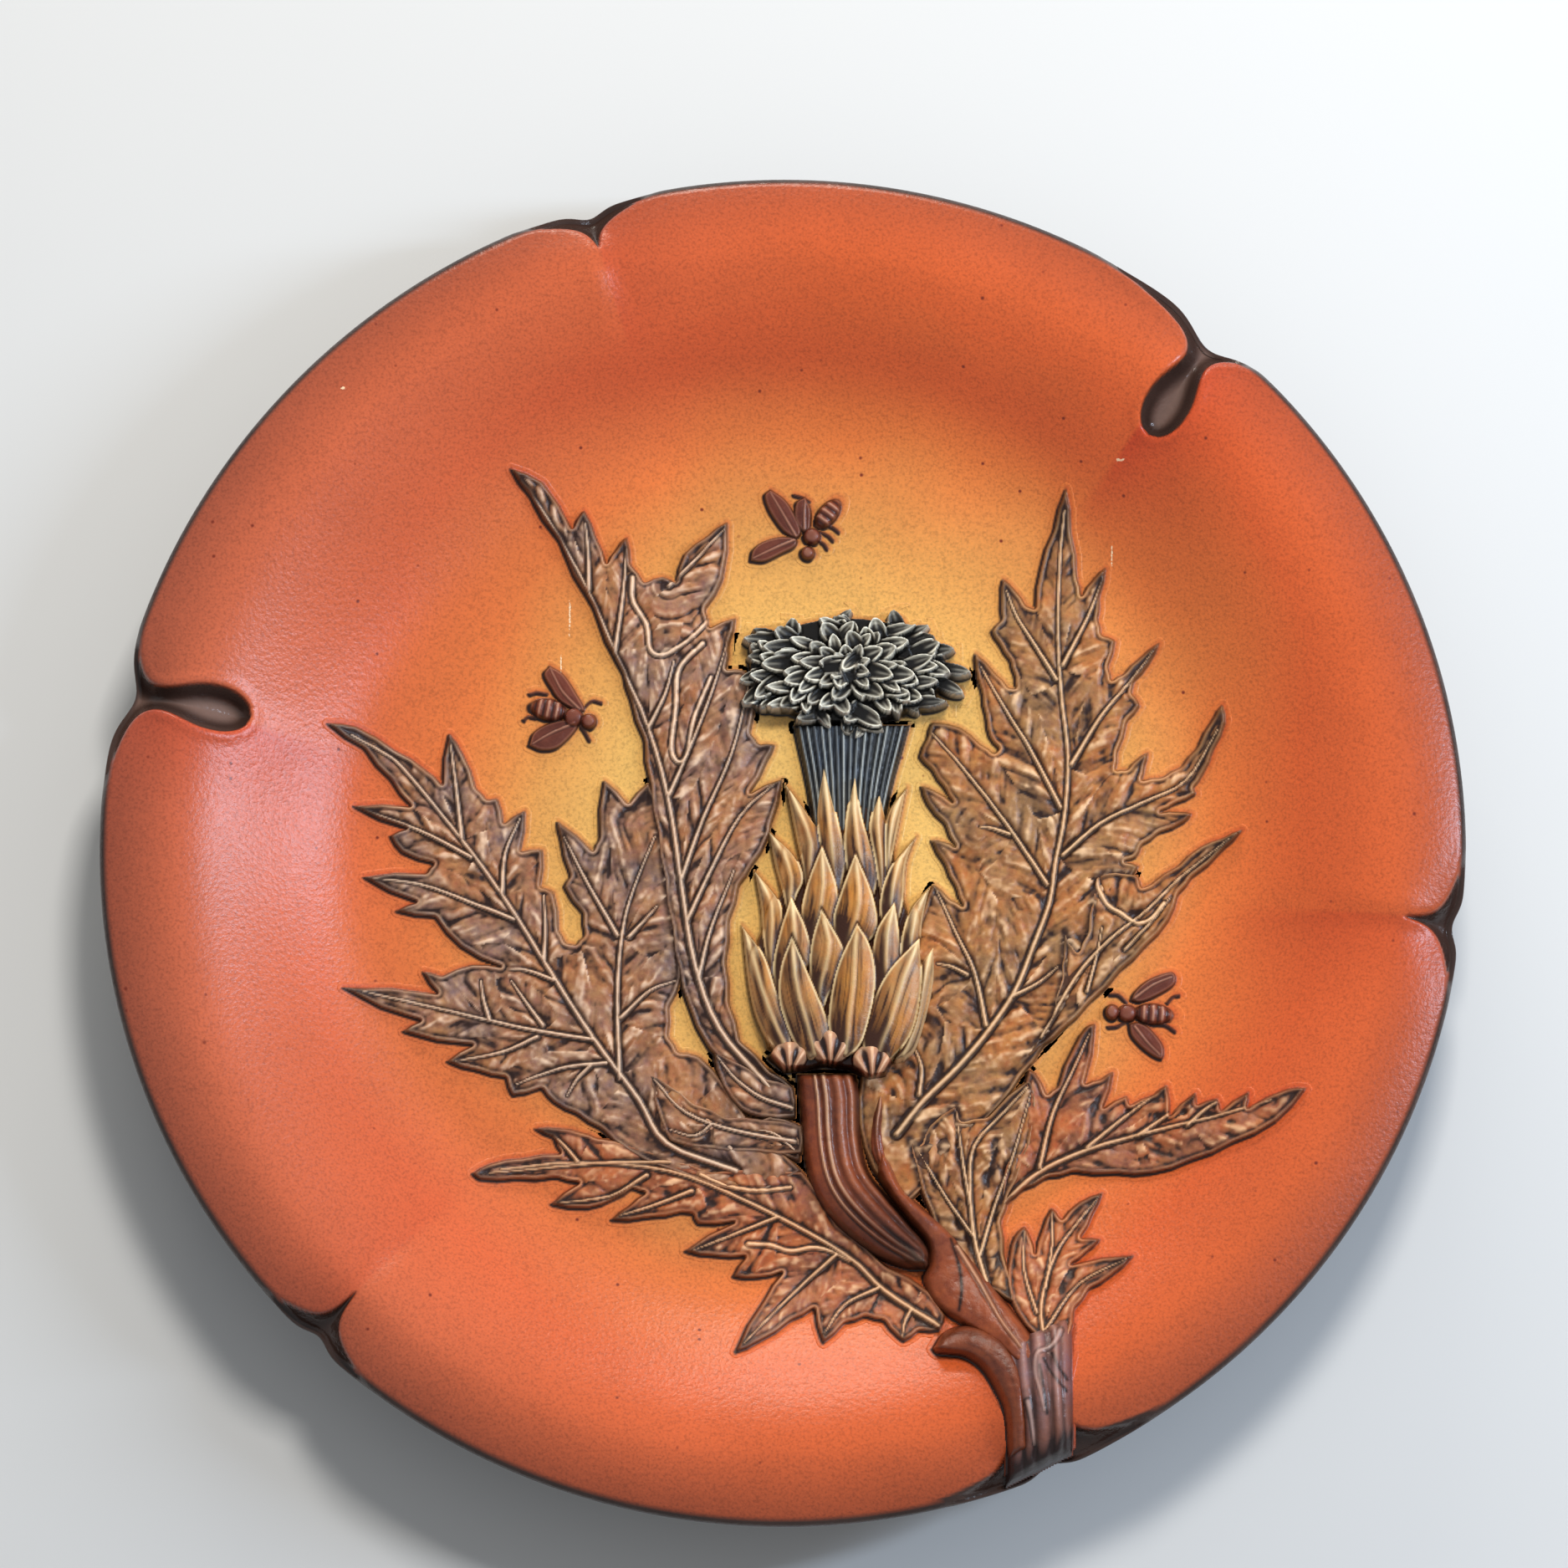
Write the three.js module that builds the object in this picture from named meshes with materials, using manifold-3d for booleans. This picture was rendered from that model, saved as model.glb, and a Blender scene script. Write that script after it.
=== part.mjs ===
// A round earthenware dish, moulded in one piece: a shallow well under a broad rim that is
// parted into six lobes, with a thistle, its leaves and three bees standing in low relief.
// It lies on its foot ring. Millimetres, +Z up, origin under the middle of the foot, with +Y
// towards the top of the picture.
import * as THREE from "three";
import { mergeVertices } from "three/addons/utils/BufferGeometryUtils.js";
import Module from "manifold-3d";

const wasm = await Module();
wasm.setup();

// Section of the dish.
const rimRadius = 160;
const rimHeight = 36;
const rimDroop = 2.5;
const edgeThickness = 5;
const edgeRound = 1.5;
const shoulderRadius = 146;
const floorRadius = 96;
const flatRadius = 66;
const bodyThickness = 7;
const footRadius = 84;
const footWidth = 8;
const footHeight = 6;
const footTaper = 1.5;
const floorLevel = footHeight + bodyThickness;

// Holes through the foot ring, for a cord to hang the dish by.
const hangingHoleRadius = 1.7;
const hangingHoleHeight = 3.2;
const hangingHoleSpread = 24;

// The rim's lobes: the angle of each parting, counted from +X, how far the edge draws in and
// down there, and how much higher one lobe stands than the next where they meet.
const partings = [50, 107, 167, 227, 293, 353];
const drawIn = 3.5;
const drawDown = 3;
const partingWidth = 5;
const lobeStep = 1.6;
const stepsPerLobe = 9;
const crowding = 0.5;
const wallSteps = 5;

// Two partings run on as deep drop-shaped folds, and three end in a short pointed nick.
const foldPartings = [50, 167];
const nickPartings = [107, 227, 353];
const foldInnerRadius = 125;
const foldHalfWidth = 6;
const foldNeck = 2.6;
const foldDepth = 6;
const foldWall = 3.5;
const foldWallSunk = 0.8;
const nickLength = 11;
const nickHalfWidth = 3.2;
const nickDepth = 4.5;

// How far the relief stands out of the face.
const sunk = 1.5;
const leafSunk = 4;
const leafEdge = 1.4;
const leafRidge = 1;
const leafLayer = 1.3;
const bractHeight = 9;
const bractEdge = 0.8;
const headHeight = 11;
const bractSpace = 1.2;
const stalkHeight = 7;
const sheathHeight = 5.6;
const trunkHeight = 5.2;
const collarHeight = 8.5;
const beeHeight = 3;
const wingEdge = 1;
const wingRidge = 0.3;

// Facets of the round forms.
const cutSides = 12;
const stemSides = 7;
const stemSteps = 7;
const drillSides = 10;

// The relief is drawn in hundredths of the rim's radius, from the middle of the dish.
const unit = rimRadius / 100;

const radians = THREE.MathUtils.degToRad;
const turnFrom = (from, to) => THREE.MathUtils.euclideanModulo(to - from, 360);
const smooth = (x, low, high) => THREE.MathUtils.smoothstep(x, low, high);

// Degrees of each lobe, from its own parting to the next.
const spans = partings.map((parting, k) => turnFrom(parting, partings[(k + 1) % partings.length]));

// 1 at a parting, falling to 0 a few degrees to either side.
function nearParting(angle) {
  const distances = partings.map((parting) => Math.min(turnFrom(parting, angle), turnFrom(angle, parting)));
  const nearest = Math.min(...distances);
  return Math.exp(-((nearest / partingWidth) ** 2));
}

// How far along its lobe an angle lies, from 0 at one parting to 1 at the next.
function alongLobe(angle) {
  const k = partings.findIndex((parting, i) => turnFrom(parting, angle) < spans[i]);
  return turnFrom(partings[k], angle) / spans[k];
}

// Height of the plain face, without its lobes: flat floor, wall, shoulder, drooping edge.
function plainFace(radius) {
  const rise = (rimHeight - floorLevel) * smooth(radius, floorRadius, shoulderRadius);
  const out = Math.max(0, radius - shoulderRadius) / (rimRadius - shoulderRadius);
  return floorLevel + rise - rimDroop * out ** 2;
}

// What the lobes add to the height at a place.
function lobeLift(radius, angle) {
  const onWall = smooth(radius, flatRadius, shoulderRadius);
  const atEdge = smooth(radius, shoulderRadius, rimRadius);
  const step = lobeStep * (0.5 - alongLobe(angle)) * onWall;
  return step - drawDown * nearParting(angle) * atEdge;
}

function faceAt(x, y) {
  const radius = Math.hypot(x, y);
  return plainFace(radius) + lobeLift(radius, THREE.MathUtils.radToDeg(Math.atan2(y, x)));
}

// Vertical thickness of the body, which grows where the wall is steep.
function thicknessAt(radius) {
  const probe = 0.5;
  const slope = (plainFace(radius + probe) - plainFace(radius - probe)) / (2 * probe);
  const towardsRim = smooth(radius, floorRadius, rimRadius);
  return THREE.MathUtils.lerp(bodyThickness, edgeThickness, towardsRim) * Math.hypot(1, slope);
}

// A closed solid through rings that hold the same number of points, with a point at each end.
function solidThrough(rings, start, end) {
  const count = rings[0].length;
  const points = [start, ...rings.flat(), end];
  const last = points.length - 1;
  const faces = [];
  for (let i = 0; i < count; i++) {
    const next = (i + 1) % count;
    faces.push(0, 1 + i, 1 + next);
    for (let r = 0; r + 1 < rings.length; r++) {
      const here = 1 + r * count;
      faces.push(here + i, here + count + i, here + next);
      faces.push(here + next, here + count + i, here + count + next);
    }
    faces.push(last - count + i, last, last - count + next);
  }
  const made = solidFromFaces(points, faces);
  return made.volume() < 0 ? solidFromFaces(points, faces.reverse()) : made;
}

function solidFromFaces(points, faces) {
  const vertProperties = new Float32Array(points.flatMap((p) => [p.x, p.y, p.z]));
  return new wasm.Manifold(
    new wasm.Mesh({ numProp: 3, vertProperties, triVerts: new Uint32Array(faces) }),
  );
}

// A three.js geometry as a solid.
function solidOf(geometry) {
  geometry.deleteAttribute("normal");
  geometry.deleteAttribute("uv");
  const merged = mergeVertices(geometry, 1e-4);
  return new wasm.Manifold(
    new wasm.Mesh({
      numProp: 3,
      vertProperties: new Float32Array(merged.attributes.position.array),
      triVerts: new Uint32Array(merged.index.array),
    }),
  );
}

// A solid as three.js geometry.
function geometryOf(solid) {
  const mesh = solid.getMesh();
  const geometry = new THREE.BufferGeometry();
  geometry.setAttribute("position", new THREE.BufferAttribute(mesh.vertProperties, mesh.numProp));
  geometry.setIndex(new THREE.BufferAttribute(mesh.triVerts, 1));
  geometry.computeVertexNormals();
  return geometry;
}

const joined = (solids) => wasm.Manifold.union(solids);

// Angles of the dish's sections, crowded towards the partings.
function sectionAngles() {
  return partings.flatMap((from, k) => {
    return Array.from({ length: stepsPerLobe }, (_, i) => {
      const u = i / stepsPerLobe;
      return from + spans[k] * (u - (crowding * Math.sin(2 * Math.PI * u)) / (2 * Math.PI));
    });
  });
}

// One ring of the body. Past the shoulder it draws in at each parting.
function bodyRing(radius, heightOf) {
  return sectionAngles().map((angle) => {
    const drawn = drawIn * nearParting(angle) * smooth(radius, shoulderRadius, rimRadius);
    const turned = new THREE.Vector3(radius - drawn, 0, heightOf(angle));
    return turned.applyAxisAngle(new THREE.Vector3(0, 0, 1), radians(angle));
  });
}

// The body: face from the middle out, rounded edge, underside, foot ring and its recess.
function body() {
  const wallRadii = Array.from({ length: wallSteps + 1 }, (_, i) =>
    THREE.MathUtils.lerp(floorRadius, shoulderRadius, i / wallSteps),
  );
  const faceRings = [flatRadius, ...wallRadii, rimRadius - edgeRound].map((radius) =>
    bodyRing(radius, (angle) => plainFace(radius) + lobeLift(radius, angle)),
  );
  const edgeRings = [edgeRound, edgeThickness - edgeRound].map((below) =>
    bodyRing(rimRadius, (angle) => plainFace(rimRadius) - below + lobeLift(rimRadius, angle)),
  );
  const underRadii = wallRadii.filter((_, i) => i % 2 === 1).reverse();
  const underRings = [rimRadius - edgeRound, ...underRadii].map((radius) =>
    bodyRing(radius, (angle) => plainFace(radius) - thicknessAt(radius) + lobeLift(radius, angle)),
  );
  const footRings = [
    [footRadius + footTaper, footHeight],
    [footRadius, 0],
    [footRadius - footWidth, 0],
    [footRadius - footWidth - footTaper, footHeight],
  ].map(([radius, height]) => bodyRing(radius, () => height));
  return solidThrough(
    [...faceRings, ...edgeRings, ...underRings, ...footRings],
    new THREE.Vector3(0, 0, floorLevel),
    new THREE.Vector3(0, 0, footHeight),
  );
}

// A solid along a parting, from the inner end out past the rim: elliptical in section, as wide
// as halfWidth(share), reaching from `above` over the face to depth(share) below it.
function alongParting(angle, inner, outer, steps, halfWidth, above, depth) {
  const out = new THREE.Vector3(Math.cos(radians(angle)), Math.sin(radians(angle)), 0);
  const across = new THREE.Vector3(-out.y, out.x, 0);
  const middleOf = (share) => {
    const place = out.clone().multiplyScalar(THREE.MathUtils.lerp(inner, outer, share));
    place.z = plainFace(Math.min(place.length(), rimRadius));
    return place;
  };
  const rings = Array.from({ length: steps }, (_, i) => {
    const share = (i + 0.35) / steps;
    const middle = middleOf(share);
    return Array.from({ length: cutSides }, (_, k) => {
      const turn = (2 * Math.PI * k) / cutSides;
      const point = middle.clone().addScaledVector(across, halfWidth(share) * Math.cos(turn));
      point.z += Math.sin(turn) > 0 ? above * Math.sin(turn) : depth(share) * Math.sin(turn);
      return point;
    });
  });
  return solidThrough(rings, middleOf(0), middleOf(1));
}

// Width of a fold from its inner end: a round end, then a narrow neck.
const foldRoundShare = 0.2;
const foldNeckShare = 0.8;
const foldRounding = (share) => Math.sqrt(Math.min(1, share / foldRoundShare));
const foldWidth = (share, widest, neck) =>
  foldRounding(share) * THREE.MathUtils.lerp(widest, neck, smooth(share, foldRoundShare, foldNeckShare));

// Cuts run a little past the rim.
const pastRim = rimRadius + edgeThickness;
const foldSteps = 9;
const nickSteps = 5;

const foldCut = (angle) =>
  alongParting(
    angle,
    foldInnerRadius,
    pastRim,
    foldSteps,
    (share) => foldWidth(share, foldHalfWidth, foldNeck),
    foldDepth,
    (share) => foldDepth * foldRounding(share),
  );

// The pressed-down clay under a fold, which keeps its wall.
const foldBulge = (angle) =>
  alongParting(
    angle,
    foldInnerRadius - foldWall,
    rimRadius - drawIn - edgeRound,
    foldSteps,
    (share) => foldWidth(share, foldHalfWidth + foldWall, foldNeck + foldWall),
    -foldWallSunk,
    (share) => (foldDepth + foldWall) * foldRounding(share),
  );

const nickCut = (angle) =>
  alongParting(
    angle,
    rimRadius - drawIn - nickLength,
    pastRim,
    nickSteps,
    (share) => nickHalfWidth * share,
    nickDepth,
    (share) => nickDepth * share,
  );

// A point of the relief, `above` the face, from its place in the drawing.
function raised(x, y, above) {
  const place = new THREE.Vector3(x * unit, y * unit, 0);
  place.z = faceAt(place.x, place.y) + above;
  return place;
}

const flat = ([x, y]) => new THREE.Vector3(x, y, 0);

// A curve through drawn points.
const through = (points) => new THREE.CatmullRomCurve3(points.map(flat));

// The point beside a curve, at a share of its length.
function beside(curve, share, aside) {
  const at = curve.getPointAt(share);
  const along = curve.getTangentAt(share);
  return new THREE.Vector3(at.x - along.y * aside, at.y + along.x * aside, 0);
}

// A strip of leaf along a curve: a roof with its ridge on the curve. Each station holds the
// share along the ridge, the share along the edges, and the half widths left and right.
function strip(curve, stations, level, edge, ridge) {
  const place = (share, aside, above) => {
    const { x, y } = beside(curve, share, aside);
    return raised(x, y, above);
  };
  const rings = stations.map(([ridgeAt, edgeAt, left, right]) => [
    place(edgeAt, left, -sunk),
    place(edgeAt, left, level + edge),
    place(ridgeAt, 0, level + edge + ridge),
    place(edgeAt, -right, level + edge),
    place(edgeAt, -right, -sunk),
  ]);
  return solidThrough(rings, place(stations[0][0], 0, 0), place(1, 0, 0));
}

// A leaf is one plate with a raised midrib and a raised vein in each lobe. A vein runs from
// its foot on the midrib to the lobe's tip, and neighbouring lobes part at a share of theirs.
const veinRise = 0.1;
const barbAt = 0.58;
const lobeBreadth = 0.2;
const roomForLobe = 0.42;
const edgeSteps = 5;

// The share of a smooth side's full width at a share of its length.
const smoothSide = (share) => Math.sin(Math.PI * (0.1 + share * 0.9)) ** 0.7;

// One side of a leaf, as steps from the base to the tip: a share of the midrib, the points of
// the outline that follow it, and the middle of the vein that starts there.
function leafSide(midrib, lobes, halfWidth, parting, hand) {
  const start = { share: 0, outline: [beside(midrib, 0, hand * halfWidth * smoothSide(0))] };
  if (lobes.length === 0) {
    const steps = Array.from({ length: edgeSteps - 1 }, (_, i) => {
      const share = (i + 1) / edgeSteps;
      return { share, outline: [beside(midrib, share, hand * halfWidth * smoothSide(share))] };
    });
    return [start, ...steps];
  }
  const veins = lobes.map(([share, x, y]) => {
    const root = midrib.getPointAt(share);
    const tip = new THREE.Vector3(x, y, 0);
    const rise = midrib.getTangentAt(share).multiplyScalar(veinRise * root.distanceTo(tip));
    return new THREE.QuadraticBezierCurve3(root, root.clone().lerp(tip, 0.45).add(rise), tip);
  });
  const lastShare = lobes[lobes.length - 1][0];
  const end = new THREE.LineCurve3(midrib.getPointAt(lastShare), midrib.getPointAt(1));
  const between = (a, b) => a.getPoint(parting).lerp(b.getPoint(parting), 0.5);
  const barb = (vein, neighbour, towards) => {
    const middle = vein.getPoint(barbAt);
    const half = lobeBreadth * vein.getPoint(0).distanceTo(vein.getPoint(1));
    const room = neighbour ? roomForLobe * middle.distanceTo(neighbour.getPoint(barbAt)) : half;
    const along = vein.getTangent(barbAt);
    const across = new THREE.Vector3(-along.y, along.x, 0).multiplyScalar(towards);
    return middle.addScaledVector(across, Math.min(half, room));
  };
  const steps = veins.map((vein, k) => {
    const after = veins[k + 1] ?? end;
    return {
      share: lobes[k][0],
      vein: vein.getPoint(0.5),
      outline: [
        barb(vein, veins[k - 1], hand),
        vein.getPoint(1),
        barb(vein, after, -hand),
        between(vein, after),
      ],
    };
  });
  const tipShare = THREE.MathUtils.lerp(lastShare, 1, barbAt);
  const tipStep = { share: tipShare, outline: [barb(end, veins[veins.length - 1], hand)] };
  return [start, ...steps, tipStep];
}

function leafSolid(leaf) {
  const midrib = through(leaf.midrib);
  const sides = [
    { hand: 1, steps: leafSide(midrib, leaf.leftLobes, leaf.halfWidth, leaf.parting, 1) },
    { hand: -1, steps: leafSide(midrib, leaf.rightLobes, leaf.halfWidth, leaf.parting, -1) },
  ];
  const points = [];
  const add = (place, above) => points.push([place, above]) - 1;
  const level = leaf.layer * leafLayer + leafEdge;
  const shares = [...new Set(sides.flatMap(({ steps }) => steps.map((step) => step.share)))];
  shares.sort((a, b) => a - b);
  const mids = new Map(shares.map((share) => [share, add(midrib.getPointAt(share), level + leafRidge)]));
  const tip = add(midrib.getPointAt(1), level);
  const faces = [];
  const outlines = sides.map(({ hand, steps }) => {
    const face = (a, b, c) => faces.push(hand > 0 ? [a, b, c] : [a, c, b]);
    const outline = [];
    let last;
    steps.forEach((step, k) => {
      const edge = step.outline.map((place) => add(place, level));
      if (k > 0) {
        const middle = mids.get(step.share);
        const round = [last, ...edge];
        const hub = step.vein ? add(step.vein, level + leafRidge) : middle;
        round.slice(1).forEach((point, i) => face(hub, point, round[i]));
        if (step.vein) {
          face(hub, round[0], middle);
          face(hub, middle, round[round.length - 1]);
        }
      }
      last = edge[edge.length - 1];
      outline.push(...edge);
      const until = steps[k + 1]?.share ?? 1;
      const run = shares.filter((share) => share >= step.share && share <= until);
      const ribs = run.map((share) => mids.get(share));
      if (until === 1) ribs.push(tip);
      ribs.slice(1).forEach((rib, i) => face(ribs[i], rib, last));
    });
    return outline;
  });
  const loop = [mids.get(0), ...outlines[1], tip, ...outlines[0].reverse()];
  const count = points.length;
  const below = faces.map(([a, b, c]) => [a + count, c + count, b + count]);
  const walls = loop.flatMap((a, i) => {
    const b = loop[(i + 1) % loop.length];
    return [[a + count, b + count, b], [a + count, b, a]];
  });
  const top = points.map(([place, above]) => raised(place.x, place.y, above));
  const bottom = points.map(([place]) => raised(place.x, place.y, -leafSunk));
  return solidFromFaces([...top, ...bottom], [...faces, ...below, ...walls].flat());
}

// The leaves, with their midribs from the stem to the tip, the layer that each lies in, the
// share of the veins at which its lobes part, and its lobes on either side from the base up:
// the share of the midrib where the vein starts, and the place of the tip. A side without
// lobes is smooth and has the half width given.
const leaves = {
  leftLeaf: {
    midrib: [[3, -48], [-17, -43], [-27.5, -28], [-40, -8], [-55.5, 12], [-67, 19.5]],
    layer: 0,
    halfWidth: 3,
    parting: 0.42,
    leftLobes: [
      [0.2, -36, -41.5], [0.29, -40.5, -36], [0.35, -49.5, -31], [0.41, -56, -26.5],
      [0.47, -64.5, -20], [0.57, -56.5, -9], [0.65, -62, -3.5], [0.8, -63, 7],
    ],
    rightLobes: [[0.48, -33.5, -6], [0.55, -35.5, 0.5], [0.62, -38, 6], [0.69, -42, 8], [0.78, -48.5, 18]],
  },
  innerLeftLeaf: {
    midrib: [[-24, -33], [-24, -18], [-23, -10], [-21, -3], [-19.5, 11]],
    layer: 0.2,
    halfWidth: 7,
    parting: 0.45,
    leftLobes: [[0.42, -33, 4.5], [0.66, -26.5, 11]],
    rightLobes: [],
  },
  tallLeaf: {
    midrib: [
      [-4.5, -34], [-11.5, -28.5], [-16.5, -9.5], [-18, 3], [-22.5, 25], [-30.5, 44.5], [-40, 57.5],
    ],
    layer: 1,
    halfWidth: 2,
    parting: 0.5,
    leftLobes: [],
    rightLobes: [
      [0.26, -4.5, -2], [0.33, -1.5, 4], [0.39, 0, 11], [0.46, -1.5, 16.5], [0.53, -4.5, 26.5],
      [0.59, -7, 35.5], [0.63, -9, 41.5], [0.69, -8, 50], [0.75, -18, 41.5], [0.8, -23, 47.5],
      [0.87, -29, 51],
    ],
  },
  rightLeaf: {
    midrib: [[16, -44.5], [29.5, -26], [35, -17], [39, -5], [41, 2.5], [41, 26.5], [42, 54.5]],
    layer: 0,
    halfWidth: 6,
    parting: 0.42,
    leftLobes: [
      [0.2, 18, -12], [0.28, 21, -4.5], [0.35, 22, 2], [0.42, 20.5, 10], [0.49, 22, 19.5],
      [0.6, 28, 30], [0.67, 30.5, 33], [0.75, 32.5, 41],
    ],
    rightLobes: [
      [0.34, 52, 2], [0.41, 61, 7], [0.48, 53.5, 15.5], [0.53, 65, 22.5], [0.59, 53, 22],
      [0.66, 55.5, 31.5], [0.72, 49, 32], [0.78, 47.5, 43],
    ],
  },
  foldedLobeOfTheRightLeaf: {
    midrib: [[29, -37], [36.5, -31.5], [50, -17.5], [57.5, -9.5], [68, 4]],
    layer: 0.6,
    halfWidth: 2,
    parting: 0.5,
    leftLobes: [[0.4, 43, -9], [0.55, 49, -3]],
    rightLobes: [],
  },
  foldedRightLeaf: {
    midrib: [[31, -60], [36, -50.5], [41.5, -47.5], [57, -47], [67, -43], [77, -35]],
    layer: 0.4,
    halfWidth: 1.5,
    parting: 0.55,
    leftLobes: [
      [0.22, 45.5, -25.5], [0.36, 48.5, -32.5], [0.45, 51, -36], [0.55, 56.5, -34.5],
      [0.64, 60.5, -35.5], [0.72, 64, -37], [0.8, 68.5, -35.5],
    ],
    rightLobes: [],
  },
  smallLeafBehindTheStem: {
    midrib: [[30, -64], [30, -50], [33, -40], [36.5, -33]],
    layer: 1.2,
    halfWidth: 3,
    parting: 0.45,
    leftLobes: [[0.3, 19, -43.5], [0.55, 25, -37]],
    rightLobes: [],
  },
  lowerRightSprig: {
    midrib: [[37, -73.5], [40, -63.5], [47, -50.5]],
    layer: 0.3,
    halfWidth: 1.5,
    parting: 0.4,
    leftLobes: [[0.28, 35.5, -56], [0.48, 39.5, -53]],
    rightLobes: [[0.18, 52, -60], [0.42, 46.5, -57.5]],
  },
  lowerLeftLeaf: {
    midrib: [[24, -70], [9, -60], [-4.5, -52.5], [-17, -48], [-30, -47], [-45.5, -47.5]],
    layer: 0.5,
    halfWidth: 4,
    parting: 0.5,
    leftLobes: [
      [0.06, 17.5, -72.5], [0.16, 6, -73], [0.27, -7, -74.5], [0.38, -7.5, -63.5],
      [0.48, -14.5, -58.5], [0.6, -25, -55], [0.76, -34.5, -52],
    ],
    rightLobes: [],
  },
  firstLeafletByTheStalk: {
    midrib: [[8, -46], [-3, -40], [-12, -38], [-19.5, -33]],
    layer: 1,
    halfWidth: 3.5,
    parting: 0.5,
    leftLobes: [],
    rightLobes: [],
  },
  secondLeafletByTheStalk: {
    midrib: [[8, -38], [-1, -36], [-10, -29.5]],
    layer: 1.8,
    halfWidth: 2.8,
    parting: 0.5,
    leftLobes: [],
    rightLobes: [],
  },
};

// A round stem along drawn points, flattened into the face, with its half widths.
function stem(points, halfWidths, height) {
  const curve = through(points);
  const widths = new THREE.SplineCurve(halfWidths.map((w, i) => new THREE.Vector2(i, w)));
  const rings = Array.from({ length: stemSteps }, (_, i) => {
    const share = i / (stemSteps - 1);
    const half = widths.getPoint(share).y;
    return Array.from({ length: stemSides }, (_, k) => {
      const turn = (2 * Math.PI * (k + 0.5)) / stemSides;
      const above = (Math.sin(turn) > 0 ? height : sunk) * Math.sin(turn);
      const place = beside(curve, share, half * Math.cos(turn));
      return raised(place.x, place.y, above);
    });
  });
  const end = (share) => {
    const at = curve.getPointAt(share);
    return raised(at.x, at.y, 0);
  };
  return solidThrough(rings, end(0), end(1));
}

// The flower's cup, in hundredths like the rest of the drawing.
const cupMiddle = 9.3;
const cupFoot = -27;
const cupTop = 12;
const cupWidest = 13;
const cupNeck = 7;
const bractRows = 4;
const bractsInRow = [5, 4];
const topRow = -2;
const bractLengths = [12, 16];
const bractBreadth = 0.3;
const bractLean = 0.3;
const bractSpread = 0.8;

// Half width of the cup at a height in the drawing: a rounded foot under a narrowing top.
function cupHalf(y) {
  const share = (y - cupFoot) / (cupTop - cupFoot);
  const foot = Math.sqrt(smooth(share, -0.35, 0.3));
  return THREE.MathUtils.lerp(cupWidest, cupNeck, smooth(share, 0.25, 1)) * foot;
}

// A bract: a pointed scale of the cup, with a ridge. `side` runs from -1 to 1 across the cup,
// and a bract to the side stands less far out of the face.
function bract(side, y, length) {
  const half = cupHalf(y);
  const lean = side * length * bractLean;
  const foot = new THREE.Vector3(cupMiddle + side * half * bractSpread, y, 0);
  const bend = new THREE.Vector3(foot.x + lean * 0.75, y + length * 0.45, 0);
  const tip = new THREE.Vector3(foot.x + lean, y + length, 0);
  const width = half * bractBreadth;
  const stations = [[0.05, 0.75], [0.4, 1], [0.75, 0.5]];
  const outOfFace = Math.sqrt(Math.max(0.08, 1 - side ** 2));
  return strip(
    new THREE.QuadraticBezierCurve3(foot, bend, tip),
    stations.map(([at, share]) => [at, at, width * share, width * share]),
    (bractHeight - 2 * bractEdge) * outOfFace,
    bractEdge,
    bractEdge,
  );
}

// The cup in rows of bracts, each row lower and in front of the one before.
function cup() {
  const bracts = Array.from({ length: bractRows }, (_, row) => {
    const down = row / (bractRows - 1);
    const count = bractsInRow[row % bractsInRow.length];
    return Array.from({ length: count }, (_, i) =>
      bract(
        (2 * i) / (count - 1) - 1,
        THREE.MathUtils.lerp(topRow, cupFoot, down),
        THREE.MathUtils.lerp(...bractLengths, down),
      ),
    );
  });
  const middle = [cupFoot + 1, -14, 0, cupTop - 4].map((y) => [cupMiddle, y]);
  return joined([...bracts.flat(), stem(middle, [8, 12, 9.5, cupNeck], bractHeight - bractSpace)]);
}

// The neck of petals that spreads from the cup up to the head.
function neck() {
  const middle = [[cupMiddle, 2], [cupMiddle + 0.3, cupTop], [cupMiddle + 0.8, cupTop * 2]];
  return stem(middle, [cupNeck - 0.5, cupNeck + 0.5, cupWidest], bractHeight - bractSpace / 2);
}

// The head: florets in rings, each ring a star with a pointed floret to each ray, and each
// smaller and higher than the one outside it.
const headMiddle = [10.2, 29];
const headHalf = [17, 9];
const floretRings = [
  { spread: 1, count: 20, height: 0.5 },
  { spread: 0.76, count: 16, height: 0.74 },
  { spread: 0.48, count: 11, height: 0.9 },
  { spread: 0.22, count: 6, height: 1 },
];
const floretLength = 0.14;
const floretSlope = 0.12;

function head() {
  const stars = floretRings.map(({ spread, count, height }) => {
    const point = (reach, turn, above) =>
      raised(
        headMiddle[0] + headHalf[0] * reach * Math.cos(turn),
        headMiddle[1] + headHalf[1] * reach * Math.sin(turn),
        above,
      );
    const ring = (heightAt) =>
      Array.from({ length: 2 * count }, (_, k) => {
        const between = k % 2 === 1;
        const reach = between ? spread - floretLength : spread;
        return point(reach, (Math.PI * k) / count, heightAt(between));
      });
    const foot = ring(() => -sunk);
    const tips = ring((between) => headHeight * (between ? height : height - floretSlope));
    return solidThrough([foot, tips], point(0, 0, -sunk), point(0, 0, headHeight * height));
  });
  return joined(stars);
}

// The crumpled collar where the stalk meets the cup: three knobs side by side.
const knobSpacing = 5.5;
const knobHalf = [2.2, 3.4, 2.4];
const knobLength = 4.8;
const knobRise = [-1, 0, -1];

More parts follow.
